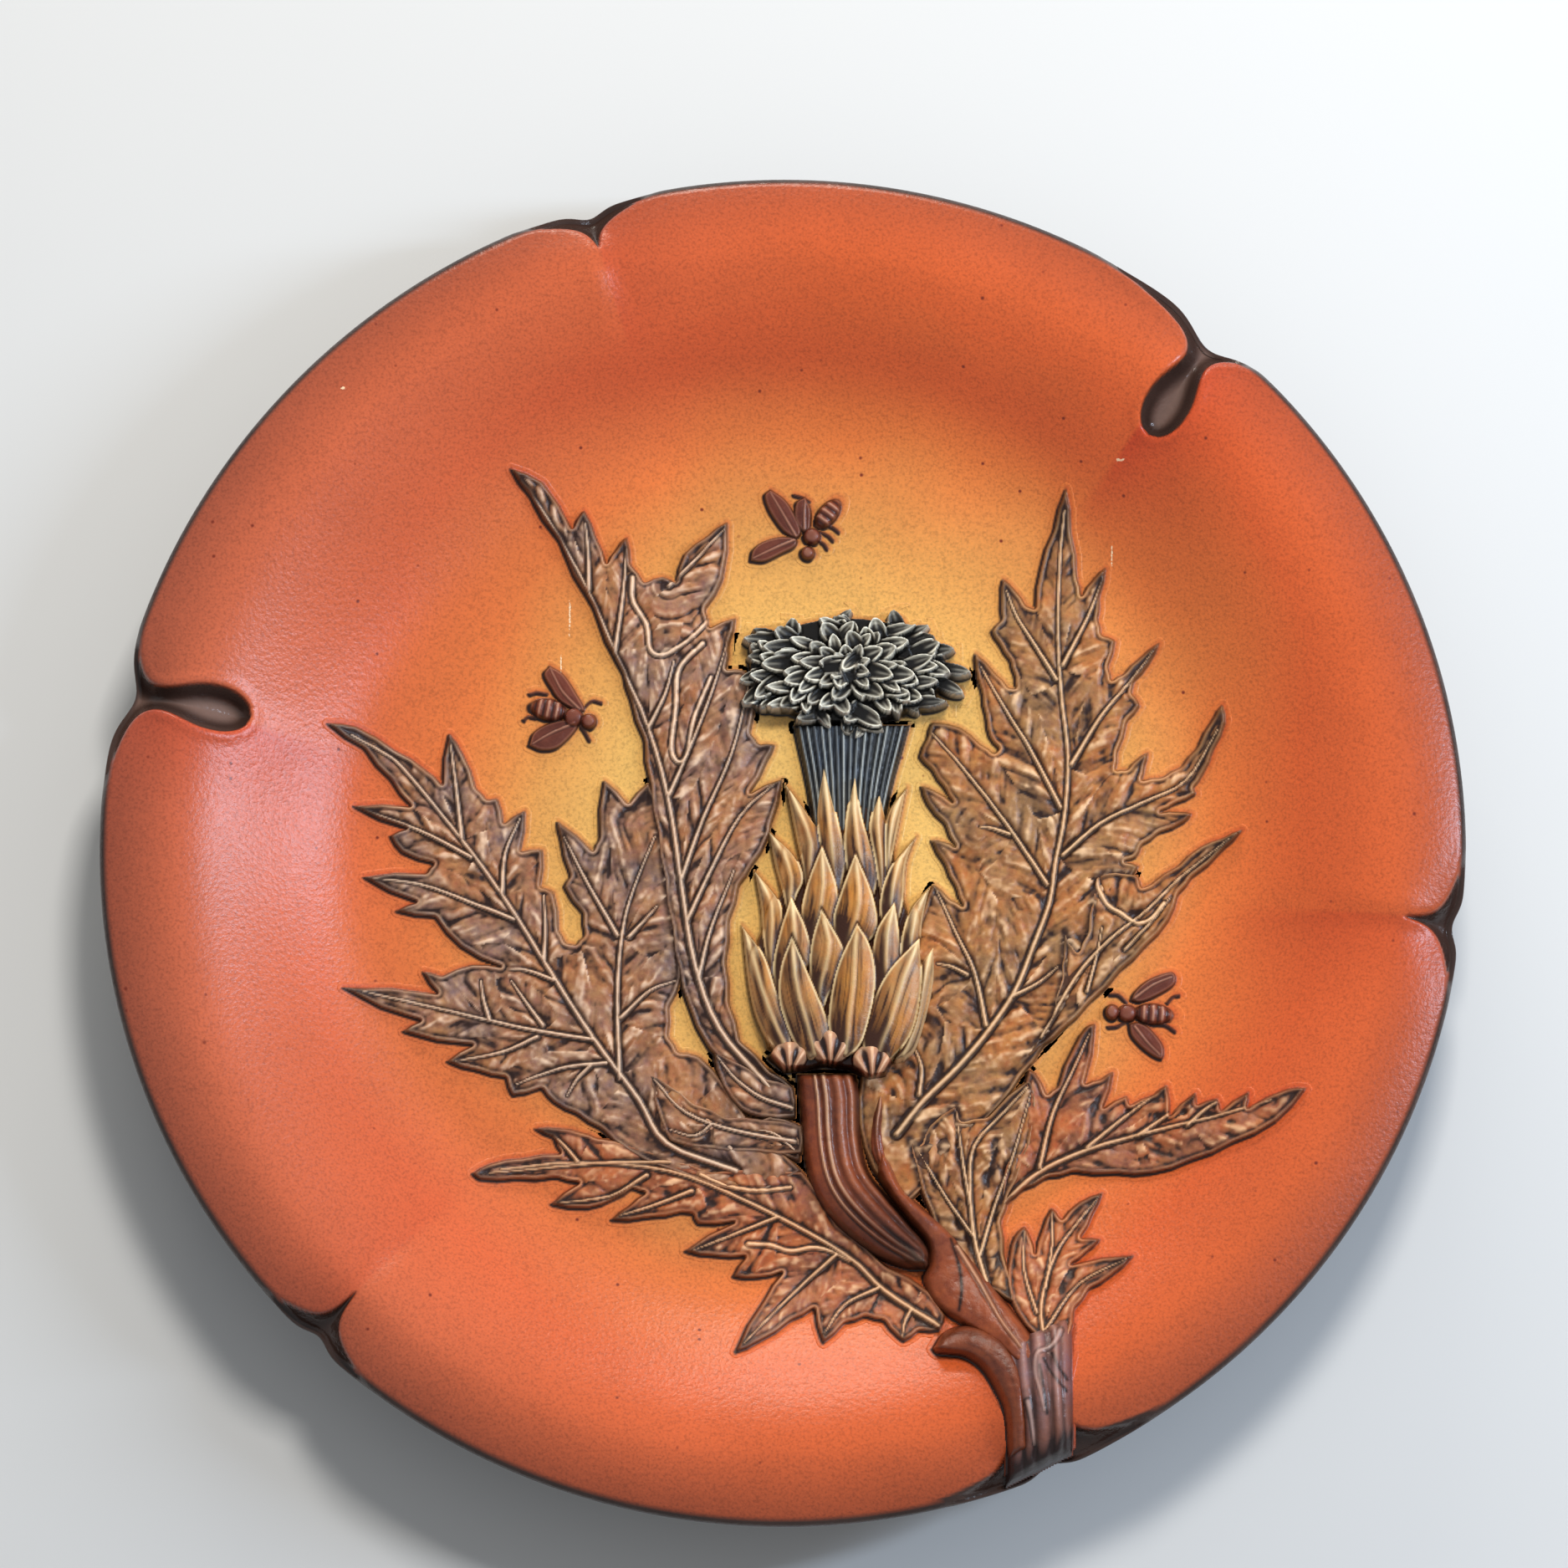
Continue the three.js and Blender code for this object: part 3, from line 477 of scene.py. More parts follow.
reddened = blend(tree, rim_smoke, reddened, tint(118, 52, 36))
clouds = reckon(tree, "MULTIPLY_ADD", grain(tree, place, 30.0, 3.0), 0.3, 0.85)
reddened = blend(tree, 1.0, reddened, clouds, "MULTIPLY")
fine = grain(tree, place, 1500.0, 2.0)
mist = ramp(tree, fine, [(0.3, tint(214, 214, 214)), (0.5, tint(250, 250, 250)), (0.72, (1.08, 1.06, 1.0))])
speckled = blend(tree, 0.8, reddened, mist, "MULTIPLY")
dots = wired(tree, "ShaderNodeTexVoronoi", Vector=place, Scale=210.0)
near_dot = ramp(tree, dots.outputs["Distance"], [(0.05, 1.0), (0.12, 0.0)])
kept_dot = ramp(tree, wired(tree, "ShaderNodeSeparateColor", Color=dots.outputs["Color"]).outputs[0],
                [(0.8, 0.0), (0.82, 1.0)])
speckled = blend(tree, reckon(tree, "MULTIPLY", near_dot, kept_dot), speckled, tint(120, 44, 26))
out = tree.nodes.new("NodeGroupOutput")
chips = worn_spots(tree, place, glaze_chips)
tree.links.new(blend(tree, chips, speckled, tint(238, 208, 170)), out.inputs[0])
tree.links.new(grain(tree, place, 900.0, 2.0, 0.6), out.inputs[1])


def new_finish(name):
    finish = bpy.data.materials.new(name)
    finish.use_nodes = True
    shader = finish.node_tree.nodes["Principled BSDF"]
    return finish, finish.node_tree, shader


def marked(tree, name):
    return wired(tree, "ShaderNodeAttribute", attribute_name=name).outputs["Fac"]


def glaze_in(tree, redder):
    group = tree.nodes.new("ShaderNodeGroup")
    group.node_tree = glaze_group
    if isinstance(redder, bpy.types.NodeSocket):
        tree.links.new(redder, group.inputs[0])
    else:
        group.inputs[0].default_value = redder
    return group.outputs[0], group.outputs[1]


glaze, tree, shader = new_finish("airbrushed_face_with_painted_light")
colour, pebbled = glaze_in(tree, marked(tree, "redder"))
place = wired(tree, "ShaderNodeTexCoord").outputs["Object"]
brown = blend(tree, grain(tree, place, 60.0), tint(30, 20, 18), tint(78, 56, 48))
# Painted highlight: the floor of each fold's hollow turns a lighter brown where light falls into it.
brown = blend(tree, marked(tree, "lit_hollow_floor"), brown, tint(124, 98, 88))
edge_dark = marked(tree, "dark")
tree.links.new(blend(tree, edge_dark, colour, brown), shader.inputs["Base Color"])
gloss = ramp(tree, edge_dark, [(0.2, 0.33), (0.8, 0.2)])
gloss = reckon(tree, "MULTIPLY_ADD", pebbled, 0.16, reckon(tree, "SUBTRACT", gloss, 0.08))
tree.links.new(gloss, shader.inputs["Roughness"])
bump = wired(tree, "ShaderNodeBump", Height=pebbled, Strength=0.26, Distance=0.0005)
tree.links.new(bump.outputs[0], shader.inputs["Normal"])
dish_body.data.materials.append(glaze)

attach(dish_body, "root")
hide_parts("dish")

# The leaves: a thistle's lobed, toothed leaves, drawn thin in the same clay and laid over the face,
# with raised veins and rolled edges. Dark stain is brushed over them and wiped off the high lines.
# Each is a sheet cut to its outline, raised from the face and closed below, inside the body.
def on_dish(points, standing=0.0):
    """Places on the dish, in millimetres, that the picture shows at its points."""
    points = np.asarray(points, float)
    seen = np.array(aim)[None] / mm + (points[:, :1] - picture / 2) * picture_pixel * np.array(across)
    seen = seen - (points[:, 1:] - picture / 2) * picture_pixel * np.array(up)
    eye = np.array(camera.location) / mm
    level = np.full(len(points), float(floor_level))
    for _ in range(6):
        reach = (level + standing - eye[2]) / (seen[:, 2] - eye[2])
        spots = eye + (seen - eye) * reach[:, None]
        level = face_at(spots[:, 0], spots[:, 1])
    return spots[:, :2]


def curve_through(points, steps=6):
    """A smooth curve through a few places."""
    p = np.asarray(points, float)
    if len(p) < 3:
        return p
    p = np.vstack([2 * p[0] - p[1], p, 2 * p[-1] - p[-2]])
    t = (np.arange(steps) / steps)[:, None]
    runs = []
    for a, b, c, d in zip(p, p[1:], p[2:], p[3:]):
        bend = 2 * a - 5 * b + 4 * c - d
        runs.append(0.5 * (2 * b + (c - a) * t + bend * t ** 2 + (3 * b - a - 3 * c + d) * t ** 3))
    return np.vstack(runs + [p[-2:-1]])


def eased_outline(points, corner=0.55, bow=0.04):
    """An outline with its sides a little bowed and its corners a little rounded."""
    p = np.asarray(points, float)
    area = np.sum(p[:, 0] * np.roll(p[:, 1], -1) - p[:, 1] * np.roll(p[:, 0], -1))
    out = []
    for a, b, c in zip(np.roll(p, 1, axis=0), p, np.roll(p, -1, axis=0)):
        before, after = math.hypot(*(a - b)), math.hypot(*(c - b))
        start = b + (a - b) * min(corner / max(before, 1e-6), 0.3)
        end = b + (c - b) * min(corner / max(after, 1e-6), 0.3)
        out += [start, 0.25 * start + 0.5 * b + 0.25 * end, end]
        if after > 5 * corner:
            side = c - b
            out.append((b + c) / 2 + np.array([side[1], -side[0]]) * math.copysign(bow, area))
    return np.array(out)


def patches(x, y, size, seed):
    """Soft irregular patches from -1 to 1, of about one size."""
    u, v = x / size + seed * 17.3, y / size - seed * 9.1
    i, j = np.floor(u), np.floor(v)
    f, g = u - i, v - j
    f, g = f * f * (3 - 2 * f), g * g * (3 - 2 * g)

    def corner(a, b):
        wave = np.sin((i + a) * 127.1 + (j + b) * 311.7 + seed * 74.7) * 43758.5453
        return wave - np.floor(wave)

    low = corner(0, 0) * (1 - f) + corner(1, 0) * f
    high = corner(0, 1) * (1 - f) + corner(1, 1) * f
    return 2 * (low * (1 - g) + high * g) - 1


# A film of glaze runs round the relief: its height and reach. Past it the sheet dips under the
# face to its end, and its underside is buried in the body.
film = 0.09
film_reach = 1.5
film_end = -0.7
buried = 1.6


def raised_sheet(name, outline, spacing, shaping, finish):
    """A sheet over the face round an outline, raised and marked by shaping(ground), closed below."""
    low, high = outline.min(axis=0) - film_reach - 1, outline.max(axis=0) + film_reach + 1
    counts = [int(math.ceil((b - a) / spacing)) for a, b in zip(low, high)]
    deselected()
    bpy.ops.mesh.primitive_grid_add(x_subdivisions=counts[0], y_subdivisions=counts[1], size=1)
    piece = bpy.context.object
    piece.name = piece.data.name = name
    piece.scale = [(b - a) * mm for a, b in zip(low, high)] + [1]
    piece.location = [(b + a) / 2 * mm for a, b in zip(low, high)] + [0]
    bpy.ops.object.transform_apply(location=True, rotation=True, scale=True)
    spots = places_of(piece)
    order = np.lexsort((spots[:, 0].round(4), spots[:, 1].round(4)))
    shape = (counts[1] + 1, counts[0] + 1)
    ground = {"x": spots[order, 0], "y": spots[order, 1], "shape": shape, "spacing": spacing}
    for key in ("top", "ridge", "groove", "valley", "pale", "dark", "own", "blush"):
        ground[key] = np.zeros(len(order))
    shaping(ground)
    kept = (ground["rise"] > film_end).reshape(shape)
    for _ in range(2):
        pinched = (kept[:-2, :-2] & kept[2:, 2:]) | (kept[:-2, 2:] & kept[2:, :-2])
        kept[1:-1, 1:-1] |= pinched
    for key, values in (("rise", ground["rise"]), ("own", ground["own"]), ("pale", ground["pale"]),
                        ("dark", ground["dark"]), ("blush", ground["blush"]), ("kept", kept.ravel())):
        back = np.empty(len(order))
        back[order] = values
        mark(piece, key, back)
        if key == "kept":
            outside = back < 0.5
    corners = np.empty(len(piece.data.polygons) * 4, int)
    piece.data.polygons.foreach_get("vertices", corners)
    bpy.ops.object.mode_set(mode="EDIT")
    bpy.context.tool_settings.mesh_select_mode = (False, False, True)
    bpy.ops.mesh.select_all(action="DESELECT")
    bpy.ops.object.mode_set(mode="OBJECT")
    piece.data.polygons.foreach_set("select", outside[corners.reshape(-1, 4)].all(axis=1))
    bpy.ops.object.mode_set(mode="EDIT")
    bpy.ops.mesh.delete(type="FACE")
    bpy.ops.mesh.select_all(action="SELECT")
    bpy.ops.mesh.region_to_loop()
    bpy.context.tool_settings.mesh_select_mode = (False, True, False)
    bpy.ops.mesh.extrude_region_move(TRANSFORM_OT_translate={"value": (0, 0, -mm)})
    bpy.ops.mesh.fill(use_beauty=True)
    bpy.ops.mesh.select_all(action="SELECT")
    bpy.ops.mesh.normals_make_consistent(inside=False)
    bpy.ops.object.mode_set(mode="OBJECT")
    spots = places_of(piece)
    on_top = spots[:, 2] > -0.5
    rise = np.empty(len(spots), np.float32)
    piece.data.attributes["rise"].data.foreach_get("value", rise)
    spots[:, 2] = face_at(spots[:, 0], spots[:, 1]) + np.where(on_top, rise, -buried)
    move_to(piece, spots)
    bpy.ops.object.shade_smooth()
    piece.data.materials.append(finish)
    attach(piece, "root")
    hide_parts("dish")


def near(ground, path, reach):
    """Which places lie within reach of the box round a path."""
    path = np.asarray(path)
    (left, low), (right, high) = path.min(axis=0) - reach, path.max(axis=0) + reach
    x, y = ground["x"], ground["y"]
    return np.nonzero((x > left) & (x < right) & (y > low) & (y < high))[0]


def draw_line(ground, path, width, lift, cut, light, stain, taper=0.6, valley=0.0):
    """A raised line with a groove on each side, thinning towards its far end, in a broad valley."""
    here = near(ground, path, 4 * width if valley == 0 else 9 * width)
    gap, share = distance_to(ground["x"][here], ground["y"][here], path)
    size = width * (1 - taper * share)
    broad = valley * np.exp(-(gap / (4.2 * size)) ** 2) * (1 - 0.5 * share)
    ground["valley"][here] = np.maximum(ground["valley"][here], broad)
    line = np.exp(-(gap / size) ** 2)
    side = np.exp(-((gap - 1.9 * size) / (0.8 * size)) ** 2)
    strength = 1 - 0.7 * taper * share
    for key, values in (("ridge", lift * line * strength), ("groove", cut * side * strength),
                        ("pale", light * line * strength), ("dark", stain * side * strength)):
        ground[key][here] = np.maximum(ground[key][here], values)


def blurred(field, cells):
    """The field averaged over a square of so many cells to each side, twice over."""
    for axis in (0, 1, 0, 1):
        padded = np.pad(field, [(cells + 1, cells) if k == axis else (0, 0) for k in (0, 1)], mode="edge")
        sums = np.cumsum(padded, axis=axis)
        ahead = np.take(sums, range(2 * cells + 1, sums.shape[axis]), axis=axis)
        behind = np.take(sums, range(0, sums.shape[axis] - 2 * cells - 1), axis=axis)
        field = (ahead - behind) / (2 * cells + 1)
    return field


def close_edge(ground, inside, wiped=1.0, stained=1.0):
    """Wipes the stain off what stands high, then makes the side of the relief at its outline, with
    stain in its foot, widened by painted shadow on the side away from the light, a painted reddish
    fringe on the side towards it, and a thin film of glaze round it."""
    line = np.clip(2 * ground["ridge"], 0, 1)
    top = ground["top"] + ground["ridge"] - (ground["groove"] + 0.6 * ground["valley"]) * (1 - line)
    around = blurred(top.reshape(ground["shape"]), max(1, int(1.2 / ground["spacing"]))).ravel()
    high = (top - around) * smooth(inside, 0.3, 1.2) * wiped
    hollow = np.clip(-2.2 * high - 0.05, 0, 0.7) + 0.46 * ground["valley"]
    ground["dark"] = np.clip(ground["dark"] + hollow, 0, 1)
    ground["pale"] = np.clip(ground["pale"] + np.clip(1.5 * high - 0.12, 0, 0.35), 0, 1)
    from_middle = np.hypot(ground["x"], ground["y"])
    reach = film_reach - (film_reach - 0.4) * smooth(from_middle, 138, 144)
    outside = np.where(inside < -0.08, inside * film_reach / reach, inside)
    steps_out = [-film_reach - 0.35, -film_reach, -0.08, 0.0, 0.5]
    rise = np.interp(outside, steps_out, [film_end, film, film, 0.12, 1])
    rise = np.where((from_middle > rim_radius - 3) & (inside < -0.05), film_end - 0.1, rise)
    rise = np.where(inside > 0, 0.12 + (rise - 0.12) * (top - 0.12) / 0.88, rise)
    # Painted shadow: the dark foot of the outline is wider and darker on the lower left, the side away from
    # the light.
    up_slope, across_slope = np.gradient(inside.reshape(ground["shape"]), ground["spacing"])
    shadow_side = (across_slope * 0.72 + up_slope * 0.69).ravel() / (np.hypot(up_slope, across_slope).ravel() + 1e-6)
    width = 0.08 + 0.42 * smooth(shadow_side, -0.3, 0.8)
    foot = (0.7 + 0.3 * smooth(shadow_side, -0.2, 0.6)) * smooth(inside, -width - 0.3, -width + 0.1)
    foot = stained * foot * (1 - smooth(inside, 0.1, 0.4))
    ground["rise"] = rise
    ground["own"] = smooth(inside, -0.1, 0.1)
    ground["dark"] = np.maximum(ground["dark"] * (1 - 0.85 * ground["pale"]) * ground["own"], foot)
    ground["pale"] = ground["pale"] * ground["own"] * (1 - 0.6 * foot)
    # Painted light: a reddish fringe outside the outline, only on the side towards the light.
    ground["blush"] = 0.5 * smooth(inside, -film_reach, -0.2) * (1 - smooth(shadow_side, -0.5, 0.2)) * (inside < 0.1)


def beside(x, y, paths):
    """Distance from the nearest of some lines, and how far along it, with each side counted apart."""
    away = np.full(len(x), np.inf)
    run = np.zeros(len(x))
    for number, path in enumerate(paths):
        done = 90.0 * number
        for a, b in zip(path, path[1:]):
            step = b - a
            length = max(math.hypot(*step), 1e-6)
            t = np.clip(((x - a[0]) * step[0] + (y - a[1]) * step[1]) / length ** 2, 0, 1)
            dx, dy = x - a[0] - t * step[0], y - a[1] - t * step[1]
            gap = np.hypot(dx, dy)
            closer = gap < away
            away[closer] = gap[closer]
            side = np.sign(step[0] * dy - step[1] * dx)
            run[closer] = (done + t * length + 1000 * side)[closer]
            done += length
    return away, run


leaf_edge = 1.4
leaf_spacing = 0.34


def leaf(name, outline, veins, finish, level=0.0, seed=1, under=(), creases=(), pits=(), vein=0.5, lean=42):
    """A leaf as a raised plate: veins drawn from the picture, wrinkles that leave them, a rolled edge."""
    standing = leaf_edge + level
    outline = eased_outline(on_dish(outline, standing))
    veins = [curve_through(on_dish(points, standing + 0.5), 4) for points in veins]
    creases = [curve_through(on_dish(points, standing)) for points in creases]
    over = [curve_through(on_dish(points + points[:1], standing)) for points in under]

    def shaping(ground):
        x, y = ground["x"], ground["y"]
        inside = depth_inside(x, y, outline)
        within = smooth(inside, 0.5, 1.8)
        away, run = beside(x, y, veins)
        stroke = run - away / math.tan(math.radians(lean))
        wrinkle = patches(stroke, away * 0.34, 2.7, seed) + 0.5 * patches(stroke, away * 0.5, 1.2, seed + 9)
        hammered = patches(x, y, 1.5, seed + 3) + 0.6 * patches(x, y, 0.8, seed + 4)
        clear = within * smooth(away, 0.5, 1.8)
        ground["top"] += standing + 0.6 * (1 - np.exp(-np.clip(inside, 0, None) / 3.5))
        ground["top"] += (0.4 * patches(x, y, 4.4, seed) + 0.13 * hammered) * within + 0.36 * wrinkle * clear
        filled = (inside > 0).astype(float).reshape(ground["shape"])
        around = blurred(filled, int(3.0 / ground["spacing"])).ravel()
        narrow = 1 - smooth(around, 0.3, 0.85)
        ground["dark"] += 0.66 * narrow + 0.6 * smooth(-wrinkle, 0.15, 1.0) * clear
        stains = 0.36 * smooth(patches(x, y, 4.6, seed + 5), 0.0, 0.8) + 0.22 * smooth(-hammered, 0, 1)
        ground["dark"] += stains * within
        ground["pale"] += 0.42 * smooth(wrinkle + 0.4 * hammered, 0.5, 1.5) * clear
        rolled = 0.55 + 0.45 * patches(x, y, 5.0, seed + 7)
        ground["ridge"] += 0.24 * rolled * np.exp(-((inside - 0.62) / 0.3) ** 2)
        ground["groove"] += 0.25 * np.exp(-((inside - 1.3) / 0.4) ** 2)
        ground["pale"] += 0.42 * rolled * np.exp(-((inside - 0.55) / 0.2) ** 2)
        ground["dark"] += 0.3 * np.exp(-((inside - 1.2) / 0.45) ** 2)
        for number, path in enumerate(veins):
            size = vein * (1.1 if number == 0 else 0.8)
            draw_line(ground, path, size, lift=0.6, cut=0.4, light=0.42, stain=0.9, valley=1.15)
        for path in creases:
            draw_line(ground, path, 0.42, lift=0.35, cut=0.6, light=0.6, stain=0.9, taper=0.2)
        for px, py, across_pit, along_pit in pits:
            at = on_dish([(px, py)], standing)[0]
            pit = np.exp(-((x - at[0]) / across_pit) ** 2 - ((y - at[1]) / along_pit) ** 2)
            ground["groove"] = np.maximum(ground["groove"], 0.9 * pit)
            ground["dark"] = np.maximum(ground["dark"], 0.8 * smooth(pit, 0.15, 0.8))
        # Painted shadow: the leaves that lie over this one darken it along their outlines.
        for path in over:
            gap = np.clip(-depth_inside(x, y, path), 0, None)
            ground["dark"] = np.maximum(ground["dark"], 0.9 * np.exp(-(gap / 0.9) ** 2))
        ground["pale"] *= 1 - 0.7 * narrow
        close_edge(ground, inside)

    raised_sheet(name, outline, leaf_spacing, shaping, finish)


def relief_finish(name, warm, cool, mossy, pale_tone, dark_tone=(44, 24, 18), gloss=0.42):
    """Stain over glaze: mottled colours, dark in the grooves, wiped pale on the raised lines."""
    finish, tree, shader = new_finish(name)
    place = wired(tree, "ShaderNodeTexCoord").outputs["Object"]
    # The glaze round the relief, redder in the painted fringe on the side towards the light.
    glazed = glaze_in(tree, marked(tree, "blush"))[0]
    large = ramp(tree, grain(tree, place, 60.0, 3.0, 0.6), [(0.4, 0.0), (0.62, 1.0)])
    small = ramp(tree, grain(tree, place, 330.0, 5.0, 0.7), [(0.3, 0.0), (0.7, 1.0)])
    smoky = ramp(tree, grain(tree, place, 170.0, 5.0, 0.75), [(0.5, 0.0), (0.75, 1.0)])
    colour = blend(tree, large, tint(*warm), tint(*cool))
    colour = blend(tree, reckon(tree, "MULTIPLY", small, 0.55), colour, tint(*mossy))
    colour = blend(tree, reckon(tree, "MULTIPLY", smoky, 0.3), colour, tint(*dark_tone))
    colour = blend(tree, marked(tree, "own"), glazed, colour)
    colour = blend(tree, marked(tree, "dark"), colour, tint(*dark_tone))
    colour = blend(tree, marked(tree, "pale"), colour, tint(*pale_tone))
    tree.links.new(colour, shader.inputs["Base Color"])
    rough = reckon(tree, "MULTIPLY_ADD", small, 0.2, gloss - 0.08)
    tree.links.new(rough, shader.inputs["Roughness"])
    bump = wired(tree, "ShaderNodeBump", Height=small, Strength=0.25, Distance=0.0004)
    tree.links.new(bump.outputs[0], shader.inputs["Normal"])
    return finish


violet_leaf = relief_finish("stained_violet_leaf", warm=(164, 98, 64), cool=(124, 98, 98),
                            mossy=(190, 144, 88), pale_tone=(246, 212, 180))
ochre_leaf = relief_finish("stained_ochre_leaf", warm=(176, 98, 50), cool=(138, 100, 74),
                           mossy=(196, 146, 78), pale_tone=(250, 208, 162))
russet_leaf = relief_finish("stained_russet_leaf", warm=(182, 88, 46), cool=(138, 80, 66),
                            mossy=(196, 128, 70), pale_tone=(246, 198, 150))

tall_leaf_edge = [
    (610, 558), (633, 591), (668, 645), (709, 725), (745, 805), (754, 837), (770, 884), (777, 936),
    (786, 996), (794, 1050), (803, 1110), (812, 1164), (822, 1200), (847, 1253), (885, 1290), (925, 1310),
    (950, 1300), (920, 1279), (885, 1244), (872, 1199), (868, 1150), (872, 1100), (884, 1058), (899, 1035),
    (919, 1001), (922, 986), (936, 930), (896, 948), (917, 910), (927, 889), (907, 889), (897, 876),
    (904, 818), (890, 800), (868, 800), (872, 769), (880, 737), (848, 750), (843, 728), (864, 693),
    (870, 622), (845, 640), (818, 661), (808, 696), (792, 688), (770, 696), (754, 674), (749, 640),
    (737, 655), (725, 674), (713, 642), (698, 608), (684, 632), (649, 575),
]
left_leaf_edge = [
    (719, 1350), (690, 1332), (662, 1318), (648, 1301), (612, 1310), (605, 1288), (570, 1280), (534, 1269),
    (566, 1249), (481, 1233), (504, 1220), (409, 1180), (524, 1188), (505, 1161), (528, 1167), (564, 1153),
    (600, 1156), (551, 1132), (520, 1096), (473, 1089), (499, 1078), (434, 1048), (510, 1044), (519, 1032),
    (480, 1019), (466, 999), (487, 990), (422, 963), (492, 964), (467, 932), (435, 894), (391, 864),
    (426, 868), (473, 897), (508, 919), (529, 939), (537, 876), (553, 900), (569, 942), (582, 956),
    (595, 954), (602, 985), (628, 968), (622, 1018), (649, 1015), (646, 1060), (662, 1066), (668, 1112),
    (676, 1127), (688, 1130), (699, 1118), (697, 1092), (674, 1060), (682, 1047), (670, 1003), (666, 981),
    (709, 1018), (717, 1002), (722, 932), (751, 961), (776, 934), (800, 1000), (812, 1100), (815, 1170),
    (800, 1204), (799, 1239), (811, 1258), (835, 1262), (870, 1300), (900, 1350), (960, 1400), (900, 1430),
    (800, 1400), (752, 1378),
]
leaf("left_leaf", left_leaf_edge, [
    [(880, 1400), (797, 1367), (763, 1314), (709, 1241), (655, 1157), (607, 1080), (552, 1004), (483, 920),
     (457, 899), (420, 878)],
    [(741, 1290), (738, 1191), (744, 1115), (757, 1064), (783, 1000)],
    [(738, 1118), (703, 1057), (674, 1000)],
    [(752, 1120), (786, 1083)], [(742, 1217), (776, 1185), (808, 1172)],
    [(563, 1025), (500, 992), (430, 966)], [(614, 1099), (560, 1078), (502, 1057), (440, 1049)],
    [(662, 1172), (630, 1160), (606, 1158)],
    [(709, 1243), (640, 1232), (585, 1220), (500, 1200), (420, 1181)],
    [(649, 1226), (630, 1200), (611, 1172)], [(585, 1219), (578, 1195), (575, 1172)],
    [(642, 1240), (600, 1258), (545, 1268)], [(725, 1271), (680, 1275), (649, 1284), (618, 1296)],
    [(706, 1274), (690, 1290), (678, 1310)], [(552, 1002), (545, 940), (538, 885)],
    [(600, 1068), (604, 1020), (622, 978)], [(650, 1148), (652, 1110), (650, 1070)],
], violet_leaf, seed=1, under=[tall_leaf_edge])
leaf("tall_leaf", tall_leaf_edge, [
    [(920, 1300), (860, 1230), (830, 1150), (815, 1060), (800, 960), (775, 870), (740, 790), (700, 700),
     (655, 620), (622, 574)],
    [(704, 705), (703, 660), (700, 625)], [(735, 780), (745, 710), (749, 655)],
    [(800, 950), (822, 900), (850, 830), (872, 760)], [(815, 1050), (840, 980), (875, 900), (895, 820)],
    [(822, 1100), (850, 1040), (885, 975), (928, 935)], [(835, 1170), (850, 1110), (878, 1040)],
    [(775, 870), (795, 830), (806, 790)], [(800, 700), (830, 670), (866, 632)],
], violet_leaf, level=0.9, seed=2, lean=34, creases=[
    [(756, 690), (757, 719), (773, 747), (777, 776), (789, 784), (805, 778), (832, 758), (852, 735)],
    [(840, 770), (812, 800), (808, 846), (803, 895), (811, 911), (821, 902), (830, 859), (850, 810)],
])

# The right leaves: the broad leaf with a lobe folded back over its foot, and the low leaf that
# bends to the right. They are stained warmer and lighter than the left ones, in the same way.
folded_lobe_edge = [
    (1487, 990), (1462, 1001), (1436, 1011), (1409, 1034), (1375, 1057), (1365, 1061), (1361, 1046),
    (1345, 1043), (1325, 1042), (1310, 1048), (1306, 1069), (1300, 1115), (1289, 1138), (1280, 1126),
    (1273, 1111), (1270, 1140), (1268, 1170), (1257, 1215), (1235, 1250), (1223, 1270), (1246, 1252),
    (1271, 1231), (1303, 1199), (1340, 1160), (1371, 1130), (1398, 1100), (1409, 1069), (1426, 1048),
    (1463, 1015),
]
low_leaf_edge = [
    (1198, 1449), (1207, 1436), (1223, 1423), (1252, 1408), (1284, 1401), (1335, 1403), (1377, 1403),
    (1424, 1388), (1475, 1366), (1526, 1341), (1563, 1300), (1540, 1301), (1491, 1325), (1494, 1304),
    (1460, 1328), (1456, 1312), (1431, 1321), (1430, 1305), (1399, 1334), (1396, 1296), (1380, 1308),
    (1351, 1321), (1348, 1309), (1319, 1325), (1332, 1280), (1316, 1290), (1297, 1296), (1310, 1223),
    (1300, 1226), (1284, 1251), (1265, 1299), (1252, 1309), (1239, 1283), (1230, 1277), (1223, 1315),
    (1220, 1347), (1207, 1379), (1198, 1411),
]
middle_leaf_edge = [
    (1148, 1530), (1128, 1490), (1112, 1450), (1095, 1400), (1086, 1362), (1100, 1368), (1110, 1345),
    (1143, 1320), (1150, 1340), (1180, 1335), (1232, 1288), (1240, 1310), (1237, 1350), (1225, 1390),
    (1207, 1430), (1197, 1460), (1201, 1500), (1215, 1560), (1190, 1545),
]
